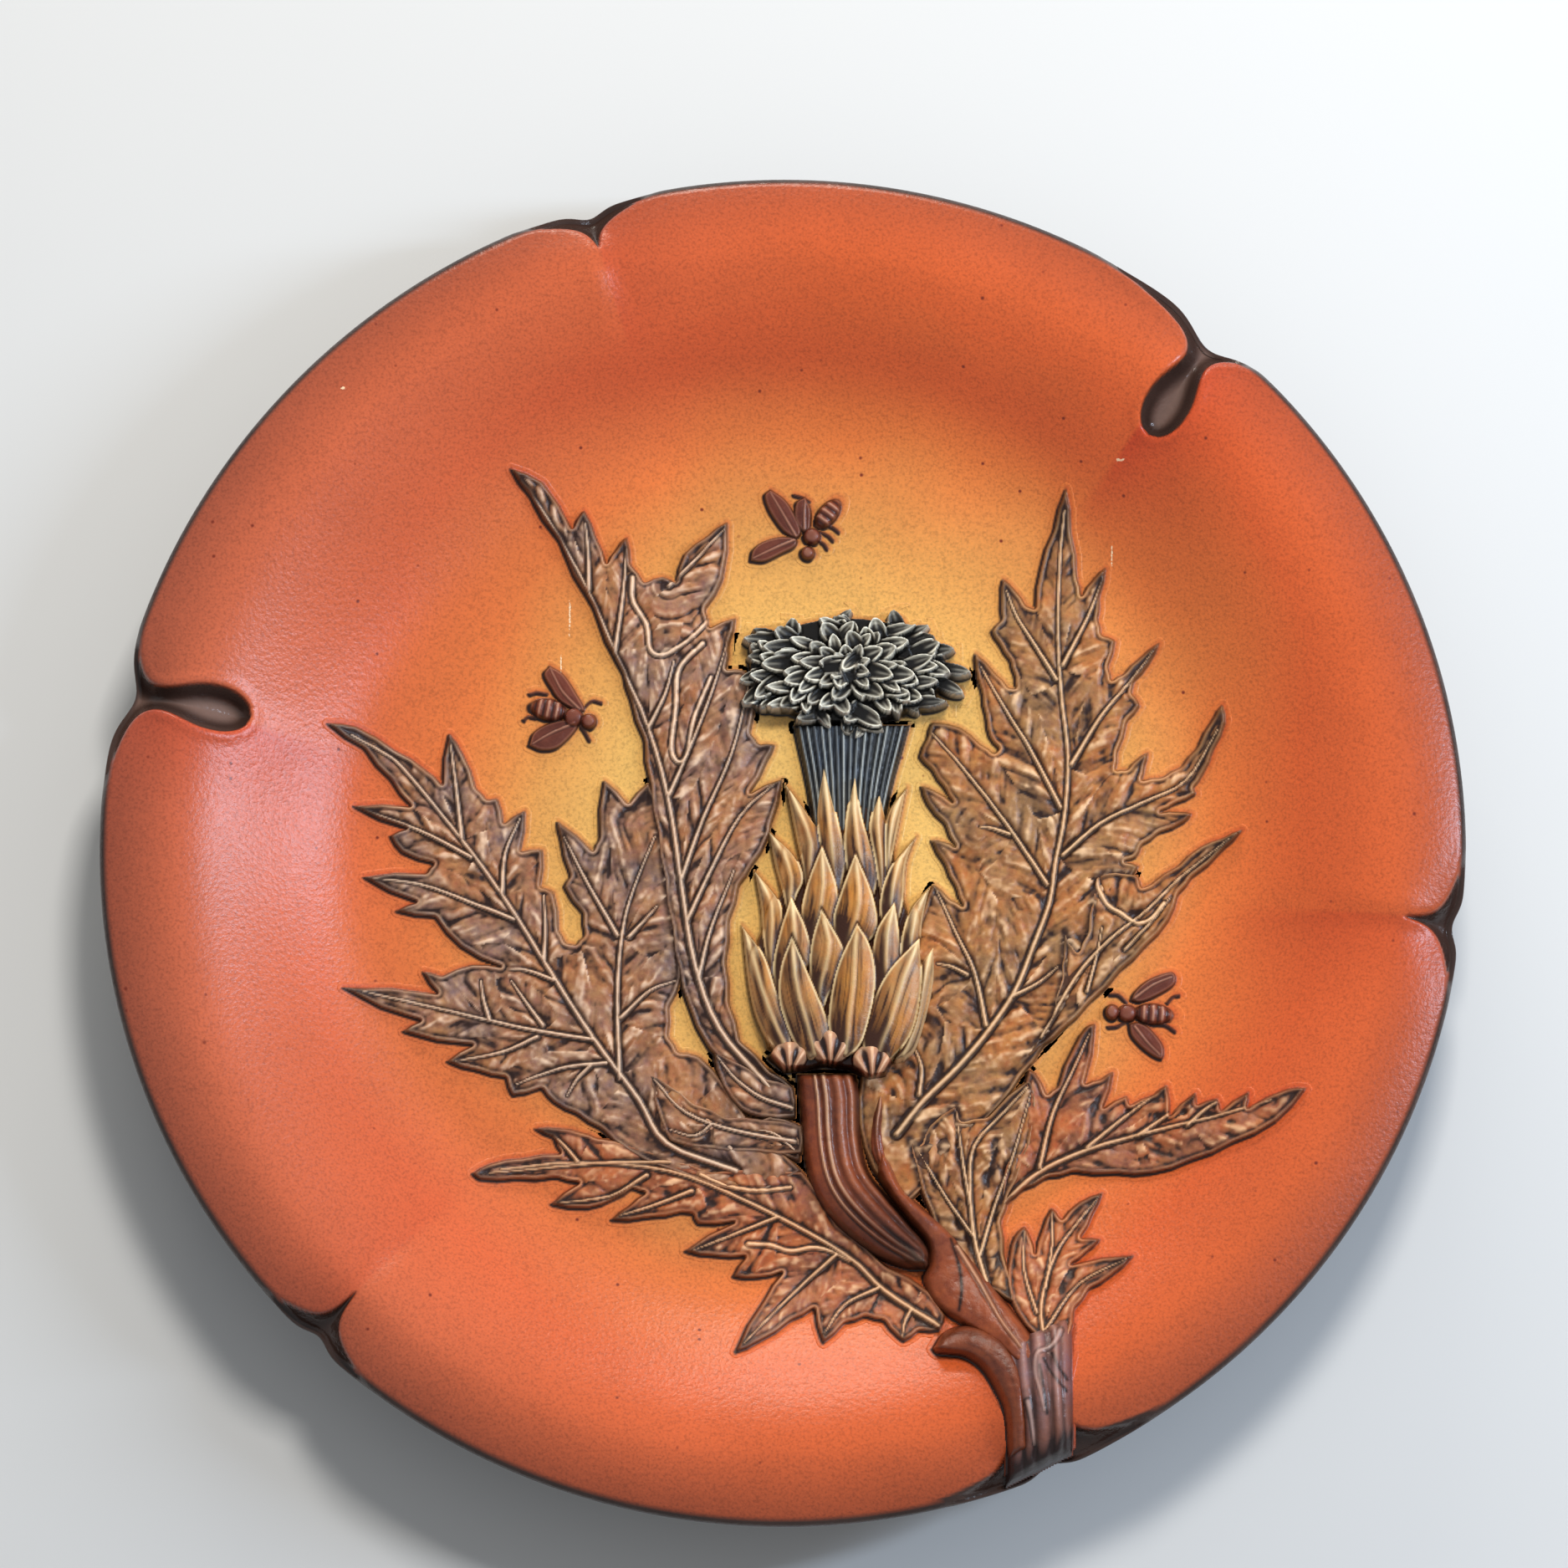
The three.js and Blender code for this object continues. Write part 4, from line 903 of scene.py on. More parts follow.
leaf("right_leaf", [
    (1275, 582), (1260, 633), (1244, 679), (1238, 728), (1227, 724), (1214, 705), (1199, 691), (1197, 713),
    (1198, 740), (1185, 755), (1195, 770), (1208, 790), (1214, 809), (1215, 823), (1206, 822), (1191, 805),
    (1166, 780), (1166, 797), (1174, 828), (1179, 858), (1183, 881), (1195, 895), (1189, 901), (1172, 889),
    (1148, 869), (1114, 863), (1109, 881), (1099, 905), (1114, 920), (1130, 943), (1140, 960), (1118, 945),
    (1101, 939), (1109, 962), (1130, 985), (1143, 1013), (1130, 1006), (1113, 1004), (1130, 1034),
    (1143, 1061), (1152, 1084), (1136, 1075), (1116, 1056), (1104, 1085), (1090, 1130), (1085, 1200),
    (1070, 1262), (1030, 1280), (1026, 1345), (1044, 1400), (1085, 1440), (1130, 1390), (1180, 1340),
    (1223, 1285), (1246, 1255), (1290, 1190), (1320, 1120), (1345, 1060), (1362, 1035), (1344, 1030),
    (1359, 1025), (1365, 1011), (1386, 996), (1417, 983), (1426, 972), (1409, 970), (1386, 971), (1405, 961),
    (1431, 949), (1427, 942), (1438, 927), (1451, 897), (1466, 863), (1462, 841), (1451, 858), (1432, 893),
    (1413, 916), (1390, 929), (1365, 933), (1369, 916), (1373, 899), (1361, 906), (1348, 920), (1334, 921),
    (1336, 900), (1348, 862), (1364, 843), (1353, 828), (1356, 815), (1375, 793), (1387, 767), (1363, 786),
    (1344, 805), (1329, 814), (1325, 797), (1334, 765), (1317, 759), (1313, 740), (1315, 713), (1323, 677),
    (1309, 690), (1293, 713), (1288, 690), (1281, 636),
], [
    [(1072, 1356), (1105, 1315), (1144, 1277), (1182, 1232), (1214, 1184), (1236, 1130), (1255, 1079),
     (1262, 1032), (1273, 974), (1277, 904), (1270, 841), (1266, 783), (1265, 739), (1268, 660),
     (1273, 610)],
    [(1263, 812), (1240, 775), (1217, 739), (1203, 705)],
    [(1268, 965), (1233, 898), (1198, 841), (1172, 795)],
    [(1252, 1057), (1207, 990), (1153, 920), (1112, 874)], [(1207, 997), (1185, 990), (1172, 988)],
    [(1179, 1226), (1166, 1165), (1144, 1117), (1119, 1062)], [(1156, 1165), (1138, 1156), (1121, 1152)],
    [(1099, 1309), (1102, 1277), (1093, 1251)], [(1271, 795), (1300, 739), (1320, 688)],
    [(1281, 914), (1316, 857), (1351, 815), (1379, 778)],
    [(1271, 1022), (1316, 984), (1367, 959), (1418, 933), (1456, 872)],
    [(1211, 1191), (1240, 1176), (1265, 1156)],
], ochre_leaf, seed=3, under=[folded_lobe_edge, low_leaf_edge, middle_leaf_edge])
leaf("folded_lobe", folded_lobe_edge, [
    [(1245, 1240), (1285, 1170), (1325, 1125), (1375, 1085), (1410, 1050), (1470, 1002)],
    [(1300, 1185), (1312, 1140), (1318, 1108)], [(1345, 1135), (1380, 1098), (1400, 1072)],
], ochre_leaf, level=0.9, seed=4, vein=0.36, creases=[
    [(1311, 1050), (1314, 1064), (1325, 1082), (1340, 1092), (1352, 1100), (1363, 1104), (1377, 1098),
     (1392, 1080)],
], pits=[(1328, 1076, 2.0, 1.4), (1357, 1092, 1.9, 1.2), (1287, 1103, 1.2, 2.2), (1289, 1122, 0.9, 1.6)])
leaf("middle_leaf", middle_leaf_edge, [
    [(1180, 1535), (1165, 1480), (1160, 1420), (1165, 1370), (1200, 1330), (1228, 1300)],
    [(1160, 1440), (1150, 1380), (1144, 1328)], [(1165, 1480), (1130, 1430), (1095, 1370)],
    [(1172, 1500), (1190, 1440), (1212, 1380), (1232, 1310)],
], ochre_leaf, level=0.7, seed=5, vein=0.4, pits=[
    (1106, 1388, 1.3, 2.2), (1118, 1412, 1.4, 2.4), (1131, 1372, 1.0, 3.2), (1146, 1370, 1.1, 3.4),
    (1190, 1372, 1.5, 3.2), (1179, 1410, 1.4, 3.0), (1147, 1460, 1.2, 2.6), (1160, 1482, 1.2, 2.8),
    (1178, 1512, 1.0, 3.0), (1203, 1398, 1.0, 3.4),
])
leaf("low_leaf", low_leaf_edge, [
    [(1200, 1440), (1239, 1404), (1300, 1375), (1380, 1352), (1450, 1335), (1520, 1315)],
    [(1243, 1396), (1259, 1331), (1284, 1277), (1303, 1235)], [(1300, 1372), (1352, 1330), (1390, 1303)],
    [(1360, 1358), (1400, 1330), (1428, 1310)], [(1420, 1345), (1450, 1320), (1488, 1308)],
], russet_leaf, level=0.5, seed=6, pits=[
    (1319, 1338, 1.3, 1.6), (1383, 1334, 1.2, 1.3), (1447, 1333, 1.2, 1.0),
    (1472, 1342, 1.2, 0.9), (1350, 1330, 0.9, 1.0), (1416, 1330, 0.9, 0.9),
])

# The lower leaves: the long leaf that runs to the lower left behind the stalk, three small leaves
# in the fork under the flower and the sprig beside the trunk, thinner and sharper than the others.
lower_leaf_edge = [
    (564, 1403), (585, 1391), (627, 1384), (671, 1379), (662, 1360), (639, 1349), (668, 1348), (697, 1354),
    (713, 1360), (760, 1370), (800, 1385), (850, 1400), (960, 1400), (1003, 1464), (1060, 1514),
    (1111, 1543), (1131, 1572), (1124, 1591), (1099, 1591), (1080, 1604), (1073, 1598), (1057, 1579),
    (1035, 1574), (1010, 1582), (984, 1606), (974, 1564), (946, 1579), (908, 1604), (879, 1617), (914, 1553),
    (936, 1521), (908, 1528), (876, 1527), (892, 1502), (853, 1502), (818, 1496), (879, 1461), (834, 1464),
    (828, 1451), (815, 1450), (776, 1456), (730, 1459), (754, 1440), (772, 1426), (757, 1421), (735, 1434),
    (703, 1445), (658, 1440), (693, 1414), (665, 1408), (617, 1410), (572, 1410),
]
fork_leaves = {
    "fork_leaf_low": [(885, 1352), (920, 1333), (955, 1343), (957, 1390), (917, 1371)],
    "fork_leaf_outer": [(775, 1282), (800, 1295), (830, 1318), (870, 1335), (912, 1337), (960, 1345),
                        (960, 1380), (900, 1378), (850, 1375), (800, 1365), (789, 1341)],
    "fork_leaf_upper": [(852, 1256), (876, 1266), (914, 1288), (949, 1298), (952, 1336), (908, 1336),
                        (885, 1327), (863, 1298)],
}
fork_veins = {
    "fork_leaf_low": [[(950, 1375), (925, 1355), (900, 1350)]],
    "fork_leaf_outer": [[(950, 1365), (880, 1352), (820, 1330), (782, 1290)],
                        [(850, 1345), (830, 1358), (800, 1350)]],
    "fork_leaf_upper": [[(948, 1325), (910, 1312), (880, 1290), (857, 1262)]],
}
leaf("lower_leaf", lower_leaf_edge, [
    [(1130, 1590), (1060, 1545), (1010, 1500), (900, 1440), (800, 1400), (690, 1390), (600, 1398)],
    [(802, 1389), (713, 1391), (585, 1402)], [(827, 1424), (776, 1443), (741, 1453)],
    [(773, 1405), (729, 1430), (668, 1438)], [(930, 1455), (880, 1475), (828, 1495)],
    [(1000, 1500), (950, 1545), (890, 1605)], [(1050, 1540), (1010, 1560), (985, 1595)],
    [(1090, 1565), (1082, 1580), (1079, 1598)], [(690, 1388), (670, 1365), (650, 1352)],
], russet_leaf, seed=7, creases=[
    [(895, 1488), (920, 1489), (945, 1496), (971, 1492), (993, 1496), (1016, 1508)],
    [(838, 1405), (870, 1418), (905, 1424), (945, 1420)],
])
for number, (name, edge) in enumerate(fork_leaves.items()):
    leaf(name, edge, fork_veins[name], violet_leaf, level=0.5 + 0.4 * number, seed=8 + number, vein=0.36)
leaf("sprig", [
    (1204, 1538), (1207, 1500), (1213, 1478), (1225, 1465), (1232, 1478), (1238, 1500), (1246, 1470),
    (1258, 1443), (1267, 1455), (1270, 1458), (1290, 1437), (1319, 1425), (1308, 1450), (1292, 1480),
    (1317, 1481), (1300, 1497), (1280, 1512), (1357, 1500), (1330, 1525), (1303, 1541), (1285, 1565),
    (1279, 1600), (1272, 1640), (1262, 1640), (1240, 1600), (1215, 1570),
], [
    [(1250, 1610), (1245, 1560), (1262, 1500), (1290, 1460), (1315, 1430)],
    [(1240, 1570), (1225, 1520), (1225, 1472)],
    [(1250, 1540), (1258, 1490), (1258, 1448)], [(1250, 1590), (1290, 1535), (1350, 1503)],
], russet_leaf, level=0.7, seed=12, vein=0.36)

# The stem: a ribbed stalk under the flower, sunk at its foot in a smooth split sheath, and the thick
# trunk that leaves the dish over the rim, with a hooked leaf on its left. Rounded in section.
stem_brown = relief_finish("stained_stem", warm=(132, 62, 36), cool=(102, 50, 38), mossy=(168, 88, 46),
                           pale_tone=(240, 196, 156), dark_tone=(34, 15, 11), gloss=0.32)
trunk_violet = relief_finish("stained_trunk", warm=(158, 106, 94), cool=(132, 108, 118), mossy=(160, 92, 58),
                             pale_tone=(230, 204, 190), dark_tone=(36, 20, 18), gloss=0.32)


stem_spacing = 0.32


def strand(name, left, right, height, ribs, finish, level=1.4, ends=1.2, seed=1, flat=0.5, lines=(), cuts=(),
           groove=0.5, fade=(0.3, 0.75), stained=(0.0, 0.0)):
    """A rounded stem between a left and a right edge. Each rib has its place as a share of the width,
    its thickness and how pale it is wiped. Lines are raised, and cuts are only stained dark."""
    standing = level + height
    left, right = (curve_through(on_dish(points, standing * 0.5)) for points in (left, right))
    outline = np.vstack([left, right[::-1]])
    lines = [curve_through(on_dish(points, standing)) for points in lines]
    cuts = [curve_through(on_dish(points, standing)) for points in cuts]

    def shaping(ground):
        x, y = ground["x"], ground["y"]
        inside = depth_inside(x, y, outline)
        from_left, along = distance_to(x, y, left)
        from_right = distance_to(x, y, right)[0]
        share = from_left / (from_left + from_right + 1e-6)
        round_top = np.clip(1 - (2 * share - 1) ** 2, 0, 1) ** flat
        ground["top"] += level + height * round_top * smooth(inside, -0.4, ends)
        ground["top"] += 0.18 * patches(x, y, 3.1, seed) + 0.08 * patches(x, y, 1.1, seed + 2)
        for at, thick, light in ribs:
            gap = (share - at) * (from_left + from_right)
            fading = 1 - 0.9 * smooth(along, *fade)
            rib = np.exp(-(gap / thick) ** 2)
            ground["ridge"] = np.maximum(ground["ridge"], 0.55 * rib)
            ground["pale"] = np.maximum(ground["pale"], light * np.exp(-(gap / (0.55 * thick)) ** 2) * fading)
            side = np.exp(-((np.abs(gap) - 1.5 * thick) / (0.6 * thick)) ** 2)
            ground["groove"] = np.maximum(ground["groove"], 0.45 * side)
            ground["dark"] = np.maximum(ground["dark"], groove * side)
        for path in lines:
            draw_line(ground, path, 0.42, lift=0.4, cut=0.4, light=0.4, stain=0.7, taper=0.4)
        for path in cuts:
            here = near(ground, path, 3)
            gap = distance_to(x[here], y[here], path)[0]
            ground["dark"][here] = np.maximum(ground["dark"][here], np.exp(-(gap / 0.45) ** 2))
        grained = patches(share * 9, along * 5, 1.0, seed + 5)
        ground["dark"] += 0.5 * (1 - smooth(round_top, 0.25, 0.75)) + 0.3 * np.clip(grained, 0, 1)
        ground["dark"] += stained[0] + (stained[1] - stained[0]) * smooth(along, 0.3, 0.8)
        ground["dark"] = np.clip(ground["dark"] + 0.8 * smooth(np.hypot(x, y), 151, 157), 0, 1)
        ground["pale"] *= 1 - smooth(np.hypot(x, y), 150, 155)
        close_edge(ground, inside, wiped=0.0)

    raised_sheet(name, outline, stem_spacing, shaping, finish)


strand("trunk",
       [(1190, 1612), (1193, 1640), (1196, 1664), (1203, 1700), (1205, 1740), (1204, 1776)],
       [(1276, 1574), (1282, 1592), (1282, 1640), (1283, 1692), (1284, 1716), (1282, 1738)], 3.6,
       [(0.34, 0.9, 0.1), (0.55, 1.2, 0.15), (0.78, 0.8, 0.2)], trunk_violet, ends=2.0, seed=21,
       groove=0.55, stained=(0.05, 0.3),
       lines=[[(1268, 1590), (1264, 1600), (1254, 1611), (1240, 1618), (1238, 1640), (1244, 1664),
               (1249, 1686)],
              [(1229, 1676), (1234, 1700), (1237, 1727)]],
       cuts=[[(1248, 1624), (1258, 1642), (1275, 1662)], [(1258, 1618), (1266, 1634), (1276, 1648)],
             [(1243, 1632), (1248, 1660), (1252, 1690)]])
strand("stem_sheath", [(1054, 1374), (1048, 1400), (1063, 1429), (1085, 1459), (1107, 1487), (1110, 1510),
                       (1104, 1530), (1118, 1560), (1150, 1583), (1190, 1610)],
       [(1054, 1374), (1067, 1392), (1080, 1420), (1107, 1446), (1133, 1468), (1159, 1498), (1196, 1546),
        (1237, 1600), (1248, 1626), (1228, 1644)], 3.9, [], stem_brown, ends=1.4, seed=22,
       lines=[[(1145, 1490), (1170, 1530), (1196, 1577), (1222, 1612)]],
       cuts=[[(1137, 1481), (1146, 1510), (1150, 1540), (1147, 1566)]])
strand("hooked_leaf", [(1115, 1612), (1129, 1592), (1155, 1583), (1181, 1589), (1207, 1608), (1224, 1640),
                       (1230, 1690), (1232, 1735)],
       [(1115, 1612), (1122, 1618), (1152, 1622), (1174, 1637), (1192, 1666), (1202, 1692), (1205, 1737),
        (1206, 1745)], 3.6, [], stem_brown, stained=(0.35, 0.3), level=2.0, ends=1.6, seed=23)
strand("thin_blade", [(1054, 1304), (1046, 1322), (1041, 1345), (1040, 1375), (1050, 1400)],
       [(1054, 1304), (1058, 1326), (1056, 1350), (1060, 1380), (1066, 1400)], 1.2, [(0.5, 0.4, 0.4)],
       stem_brown, level=2.0, seed=24)
strand("stalk", [(953, 1283), (957, 1330), (962, 1385), (974, 1428), (1000, 1466), (1040, 1498), (1080, 1515),
                 (1108, 1517)],
       [(1023, 1283), (1029, 1311), (1030, 1355), (1038, 1396), (1060, 1427), (1087, 1460), (1110, 1490),
        (1112, 1512)], 4.8, [(0.3, 0.4, 0.7), (0.44, 0.6, 0.6), (0.66, 1.0, 0.1), (0.86, 0.8, 0.15)],
       stem_brown, level=1.6, ends=1.6, seed=25, groove=0.42, stained=(0.0, 0.45))

# The cup of the flower: pointed scales in rows, each row over the next one up, on a round boss,
# stained olive and ochre with pale ridges, and three ribbed knobs where the stalk joins it.
cup_ochre = relief_finish("stained_cup", warm=(204, 140, 62), cool=(170, 136, 92), mossy=(196, 110, 38),
                          pale_tone=(250, 226, 174), dark_tone=(54, 26, 12), gloss=0.38)
cup_core = [
    (975, 985), (1023, 950), (1066, 985), (1072, 1040), (1090, 1100), (1104, 1160), (1095, 1246),
    (1060, 1262), (940, 1262), (918, 1250), (905, 1200), (905, 1120), (925, 1080), (945, 1040),
]
scales = [
    # tip, then the left side and the right side from the tip down, back rows first
    [(938, 931), [(950, 990), (960, 1041)], [(966, 970), (984, 1003), (972, 1054)]],
    [(985, 909), [(976, 974), (985, 1040)], [(1010, 1014), (1008, 1055)]],
    [(1023, 915), [(1010, 985), (1012, 1040)], [(1031, 974), (1047, 1030), (1048, 1062)]],
    [(1052, 942), [(1039, 985), (1046, 1030)], [(1061, 985), (1062, 1038)]],
    [(1085, 936), [(1061, 971), (1058, 1020)], [(1074, 990), (1066, 1033)]],
    [(918, 988), [(926, 1030), (936, 1068)], [(950, 1020), (961, 1050), (952, 1074)]],
    [(983, 1010), [(967, 1050), (958, 1086), (962, 1118)], [(1002, 1065), (999, 1108), (985, 1124)]],
    [(1023, 1019), [(1004, 1070), (996, 1110)], [(1045, 1074), (1049, 1112), (1030, 1138)]],
    [(1096, 995), [(1064, 1036), (1051, 1086)], [(1084, 1030), (1080, 1080)]],
    [(901, 1035), [(909, 1080), (912, 1120)], [(931, 1072), (936, 1100), (930, 1142)]],
    [(946, 1071), [(931, 1118), (924, 1164)], [(964, 1110), (970, 1146), (952, 1180)]],
    [(982, 1086), [(970, 1128), (968, 1172)], [(1010, 1138), (1006, 1168), (990, 1194)]],
    [(1070, 1077), [(1046, 1118), (1044, 1176)], [(1076, 1120), (1076, 1160)]],
    [(1113, 1055), [(1088, 1086), (1076, 1137)], [(1104, 1100), (1100, 1150)]],
    [(887, 1102), [(893, 1165), (903, 1212), (922, 1250), (940, 1268)],
     [(912, 1137), (928, 1183), (946, 1240)]],
    [(1118, 1124), [(1097, 1161), (1080, 1240), (1068, 1268)], [(1116, 1180), (1098, 1247)]],
    [(947, 1118), [(933, 1158), (932, 1200), (950, 1250), (966, 1268)],
     [(970, 1172), (990, 1222), (988, 1256)]],
    [(1100, 1120), [(1064, 1159), (1044, 1196), (1031, 1240), (1036, 1266)],
     [(1103, 1172), (1092, 1232), (1066, 1268)]],
    [(1025, 1104), [(1000, 1160), (990, 1222), (1000, 1262)],
     [(1042, 1135), (1047, 1180), (1033, 1242), (1016, 1264)]],
]
cup_height = 6.4
# How far a scale's foot runs on under the scales in front of it, and where the lowest scales end.
scale_tuck = 46
scales_end = 1266


def lay_over(ground, cover, here=slice(None), **values):
    """Lays new values over what is there, by the share that they cover."""
    for key, value in values.items():
        ground[key][here] = ground[key][here] * (1 - cover) + value * cover


def lay_scale(ground, tip, left, right, level, seed):
    """A pointed scale over what is there: a step at its edge, a pale rim, and a ridge down its middle."""
    foot = ((left[-1][0] + right[-1][0]) / 2, min(max(left[-1][1], right[-1][1]) + scale_tuck, scales_end))
    left = curve_through(on_dish([tip] + left + [foot], cup_height))
    right = curve_through(on_dish([tip] + right + [foot], cup_height))
    outline = np.vstack([left, right[::-1]])
    halfway = [side[np.linspace(0, len(side) - 1, 9).astype(int)] for side in (left, right)]
    middle = (halfway[0] + halfway[1]) / 2
    here = near(ground, outline, 1.4)
    x, y = ground["x"][here], ground["y"][here]
    inside = depth_inside(x, y, outline)
    ground["edge"][here] = np.maximum(ground["edge"][here], inside)
    to_middle, share = distance_to(x, y, middle)
    ridge = np.exp(-(to_middle / 0.5) ** 2) * smooth(share, 0.0, 0.12)
    rim_line = np.exp(-((inside - 0.3) / 0.26) ** 2)
    lifted = level(x, y) + 0.9 + 1.1 * (1 - smooth(share, 0.05, 0.75))
    lifted = lifted + 1.5 * (1 - np.exp(-np.clip(inside, 0, None) / 1.5)) + 0.25 * ridge + 0.1 * rim_line
    streak = patches(to_middle * 3.2, share * 7, 1.0, seed)
    # Painted shade: each scale is darker towards its foot and on its left side, away from the light; the
    # streaks are stain.
    to_left = middle[:, 0].mean() - x
    shade = 0.9 * smooth(share, 0.3, 0.85) + 0.6 * np.clip(streak, 0, 1)
    shade = shade + 0.35 * np.exp(-((to_middle - 1.05) / 0.4) ** 2) + 0.5 * smooth(to_left, 0.2, 1.8)
    cover = smooth(inside, -0.12, 0.12)
    gap = np.exp(-(np.clip(-inside, 0, None) / 0.7) ** 2) * (inside < 0.12)
    lay_over(ground, cover, here, top=lifted, dark=shade,
             pale=np.maximum(0.7 * rim_line, 0.5 * ridge * (1 - share)))
    ground["pale"][here] *= 1 - gap
    ground["dark"][here] = np.maximum(ground["dark"][here], gap * (1 - cover))


def shape_cup(ground):
    x, y = ground["x"], ground["y"]
    ground["edge"] = depth_inside(x, y, cup_edge)
    foot, crown = on_dish([(1005, 1250), (1010, 960)], cup_height)
    low, high = on_dish([(897, 1180), (1117, 1180)], cup_height)[:, 0]
    middle, half = (low + high) / 2, (high - low) / 2

    def level(x, y):
        up_share = np.clip((y - foot[1]) / (crown[1] - foot[1]), 0, 1)
        wide = half * (1 - 0.42 * smooth(up_share, 0.15, 0.85))
        off = np.clip(np.abs(x - middle) / (wide * 1.12), 0, 1)
        return 1.2 + (cup_height - 1.6) * np.sqrt(1 - off ** 2) * (1 - 0.35 * up_share)

    ground["top"] += level(x, y)
    ground["dark"] += 0.85
    for number, (tip, left, right) in enumerate(scales):
        lay_scale(ground, tip, left, right, level, number)
    close_edge(ground, ground["edge"], wiped=0.5, stained=0.6)


cup_edge = on_dish(cup_core, cup_height)
scale_tips = [tip for tip, left, right in scales]
raised_sheet("flower_cup", on_dish(scale_tips + cup_core, cup_height), 0.27, shape_cup, cup_ochre)

# Each knob: its middle in the picture, and half its width and length there.
knobs = [((944, 1261), 23, 19), ((1043, 1267), 25, 22), ((993, 1250), 27, 22)]
knob_height = 8.2
knob_collar = 5.2


def shape_knobs(ground):
    x, y = ground["x"], ground["y"]
    inside = depth_inside(x, y, knob_edge)
    ground["top"] += knob_collar
    ground["dark"] += 1
    for (px, py), across_knob, along_knob in knobs:
        at = on_dish([(px, py)], knob_height)[0]
        u = (x - at[0]) / (across_knob * picture_pixel)
        v = (y - at[1]) / (along_knob * picture_pixel)
        out = np.hypot(u, v)
        dome = np.sqrt(np.clip(1 - out ** 2, 0, 1))
        pleat = np.cos((np.arctan2(u, v + 1.3)) * 13.0)
        cover = smooth(out, 1.02, 0.9)
        pleats = pleat * smooth(out, 1.0, 0.75) * smooth(v, 0.95, 0.5)
        lay_over(ground, cover, top=knob_collar + 0.2 + 3.4 * dome + 0.45 * pleats,
                 pale=0.45 * smooth(pleat, 0.7, 1.0) * smooth(out, 1.0, 0.7),
                 dark=0.95 * smooth(-pleat, -0.5, 0.6))
    close_edge(ground, inside)


knob_edge = on_dish([
    (918, 1262), (928, 1246), (950, 1244), (968, 1236), (993, 1229), (1018, 1236), (1035, 1247),
    (1056, 1252), (1068, 1268), (1060, 1286), (1040, 1290), (1015, 1276), (985, 1272), (962, 1278),
    (938, 1280),
], knob_height * 0.6)
raised_sheet("flower_knobs", knob_edge, 0.24, shape_knobs, stem_brown)

# The flower: a brush of blue-black ribs under a crown of little hollow florets, ring over ring from
# the edge inwards, stained nearly black and wiped to cream on every rim.
brush_black = relief_finish("stained_brush", warm=(44, 48, 54), cool=(54, 66, 84), mossy=(76, 78, 76),
                            pale_tone=(190, 196, 192), dark_tone=(14, 15, 20), gloss=0.4)
crown_grey = relief_finish("stained_crown", warm=(92, 82, 70), cool=(74, 76, 80), mossy=(122, 108, 88),
                           pale_tone=(240, 236, 218), dark_tone=(18, 16, 15), gloss=0.4)
brush_left = [(949, 866), (954, 890), (962, 925), (968, 958), (974, 1000)]
brush_right = [(1088, 866), (1080, 895), (1070, 930), (1063, 960), (1056, 1000)]
brush_ribs = [(0.05 + 0.064 * k + 0.008 * math.sin(k * 3.1), 0.34, 0.5 + 0.35 * math.sin(k * 2.3))
              for k in range(15)]
strand("flower_brush", brush_left, brush_right, 3.2, brush_ribs, brush_black, level=1.4, seed=31, flat=0.6,
       groove=0.85, fade=(0.7, 1.3))

# The crown in the picture: its middle, half its width, and its reach above and below the middle.
crown_middle = (1014, 796)
crown_half = (138, 70, 78)
crown_height = 9.0
floret_length = 5.4
# Each ring of florets: its share of the crown, how many it holds, and how far it is turned.
rings = [(1.0, 27, 0.0), (0.87, 24, 0.5), (0.72, 20, 0.2), (0.56, 15, 0.6), (0.4, 11, 0.1), (0.24, 7, 0.4),
         (0.1, 3, 0)]


def floret_places():
    """Foot and tip of every floret, the outer rings first."""
    for reach, count, shift in rings:
        for k in range(count):
            turn = 2 * math.pi * (k + shift) / count
            wander = 1 + 0.09 * math.sin(k * 5.1 + reach * 20)
            turn += 0.14 * math.sin(k * 7.7 + reach * 31)
            place = []
            for far, turn in ((reach - 0.3, turn + 0.3 * math.sin(k * 4.1 + reach * 9)), (reach, turn)):
                high = crown_half[1] if math.sin(turn) > 0 else crown_half[2]
                place.append((crown_middle[0] + crown_half[0] * far * wander * math.cos(turn),
                              crown_middle[1] - high * far * wander * math.sin(turn)))
            yield reach, place


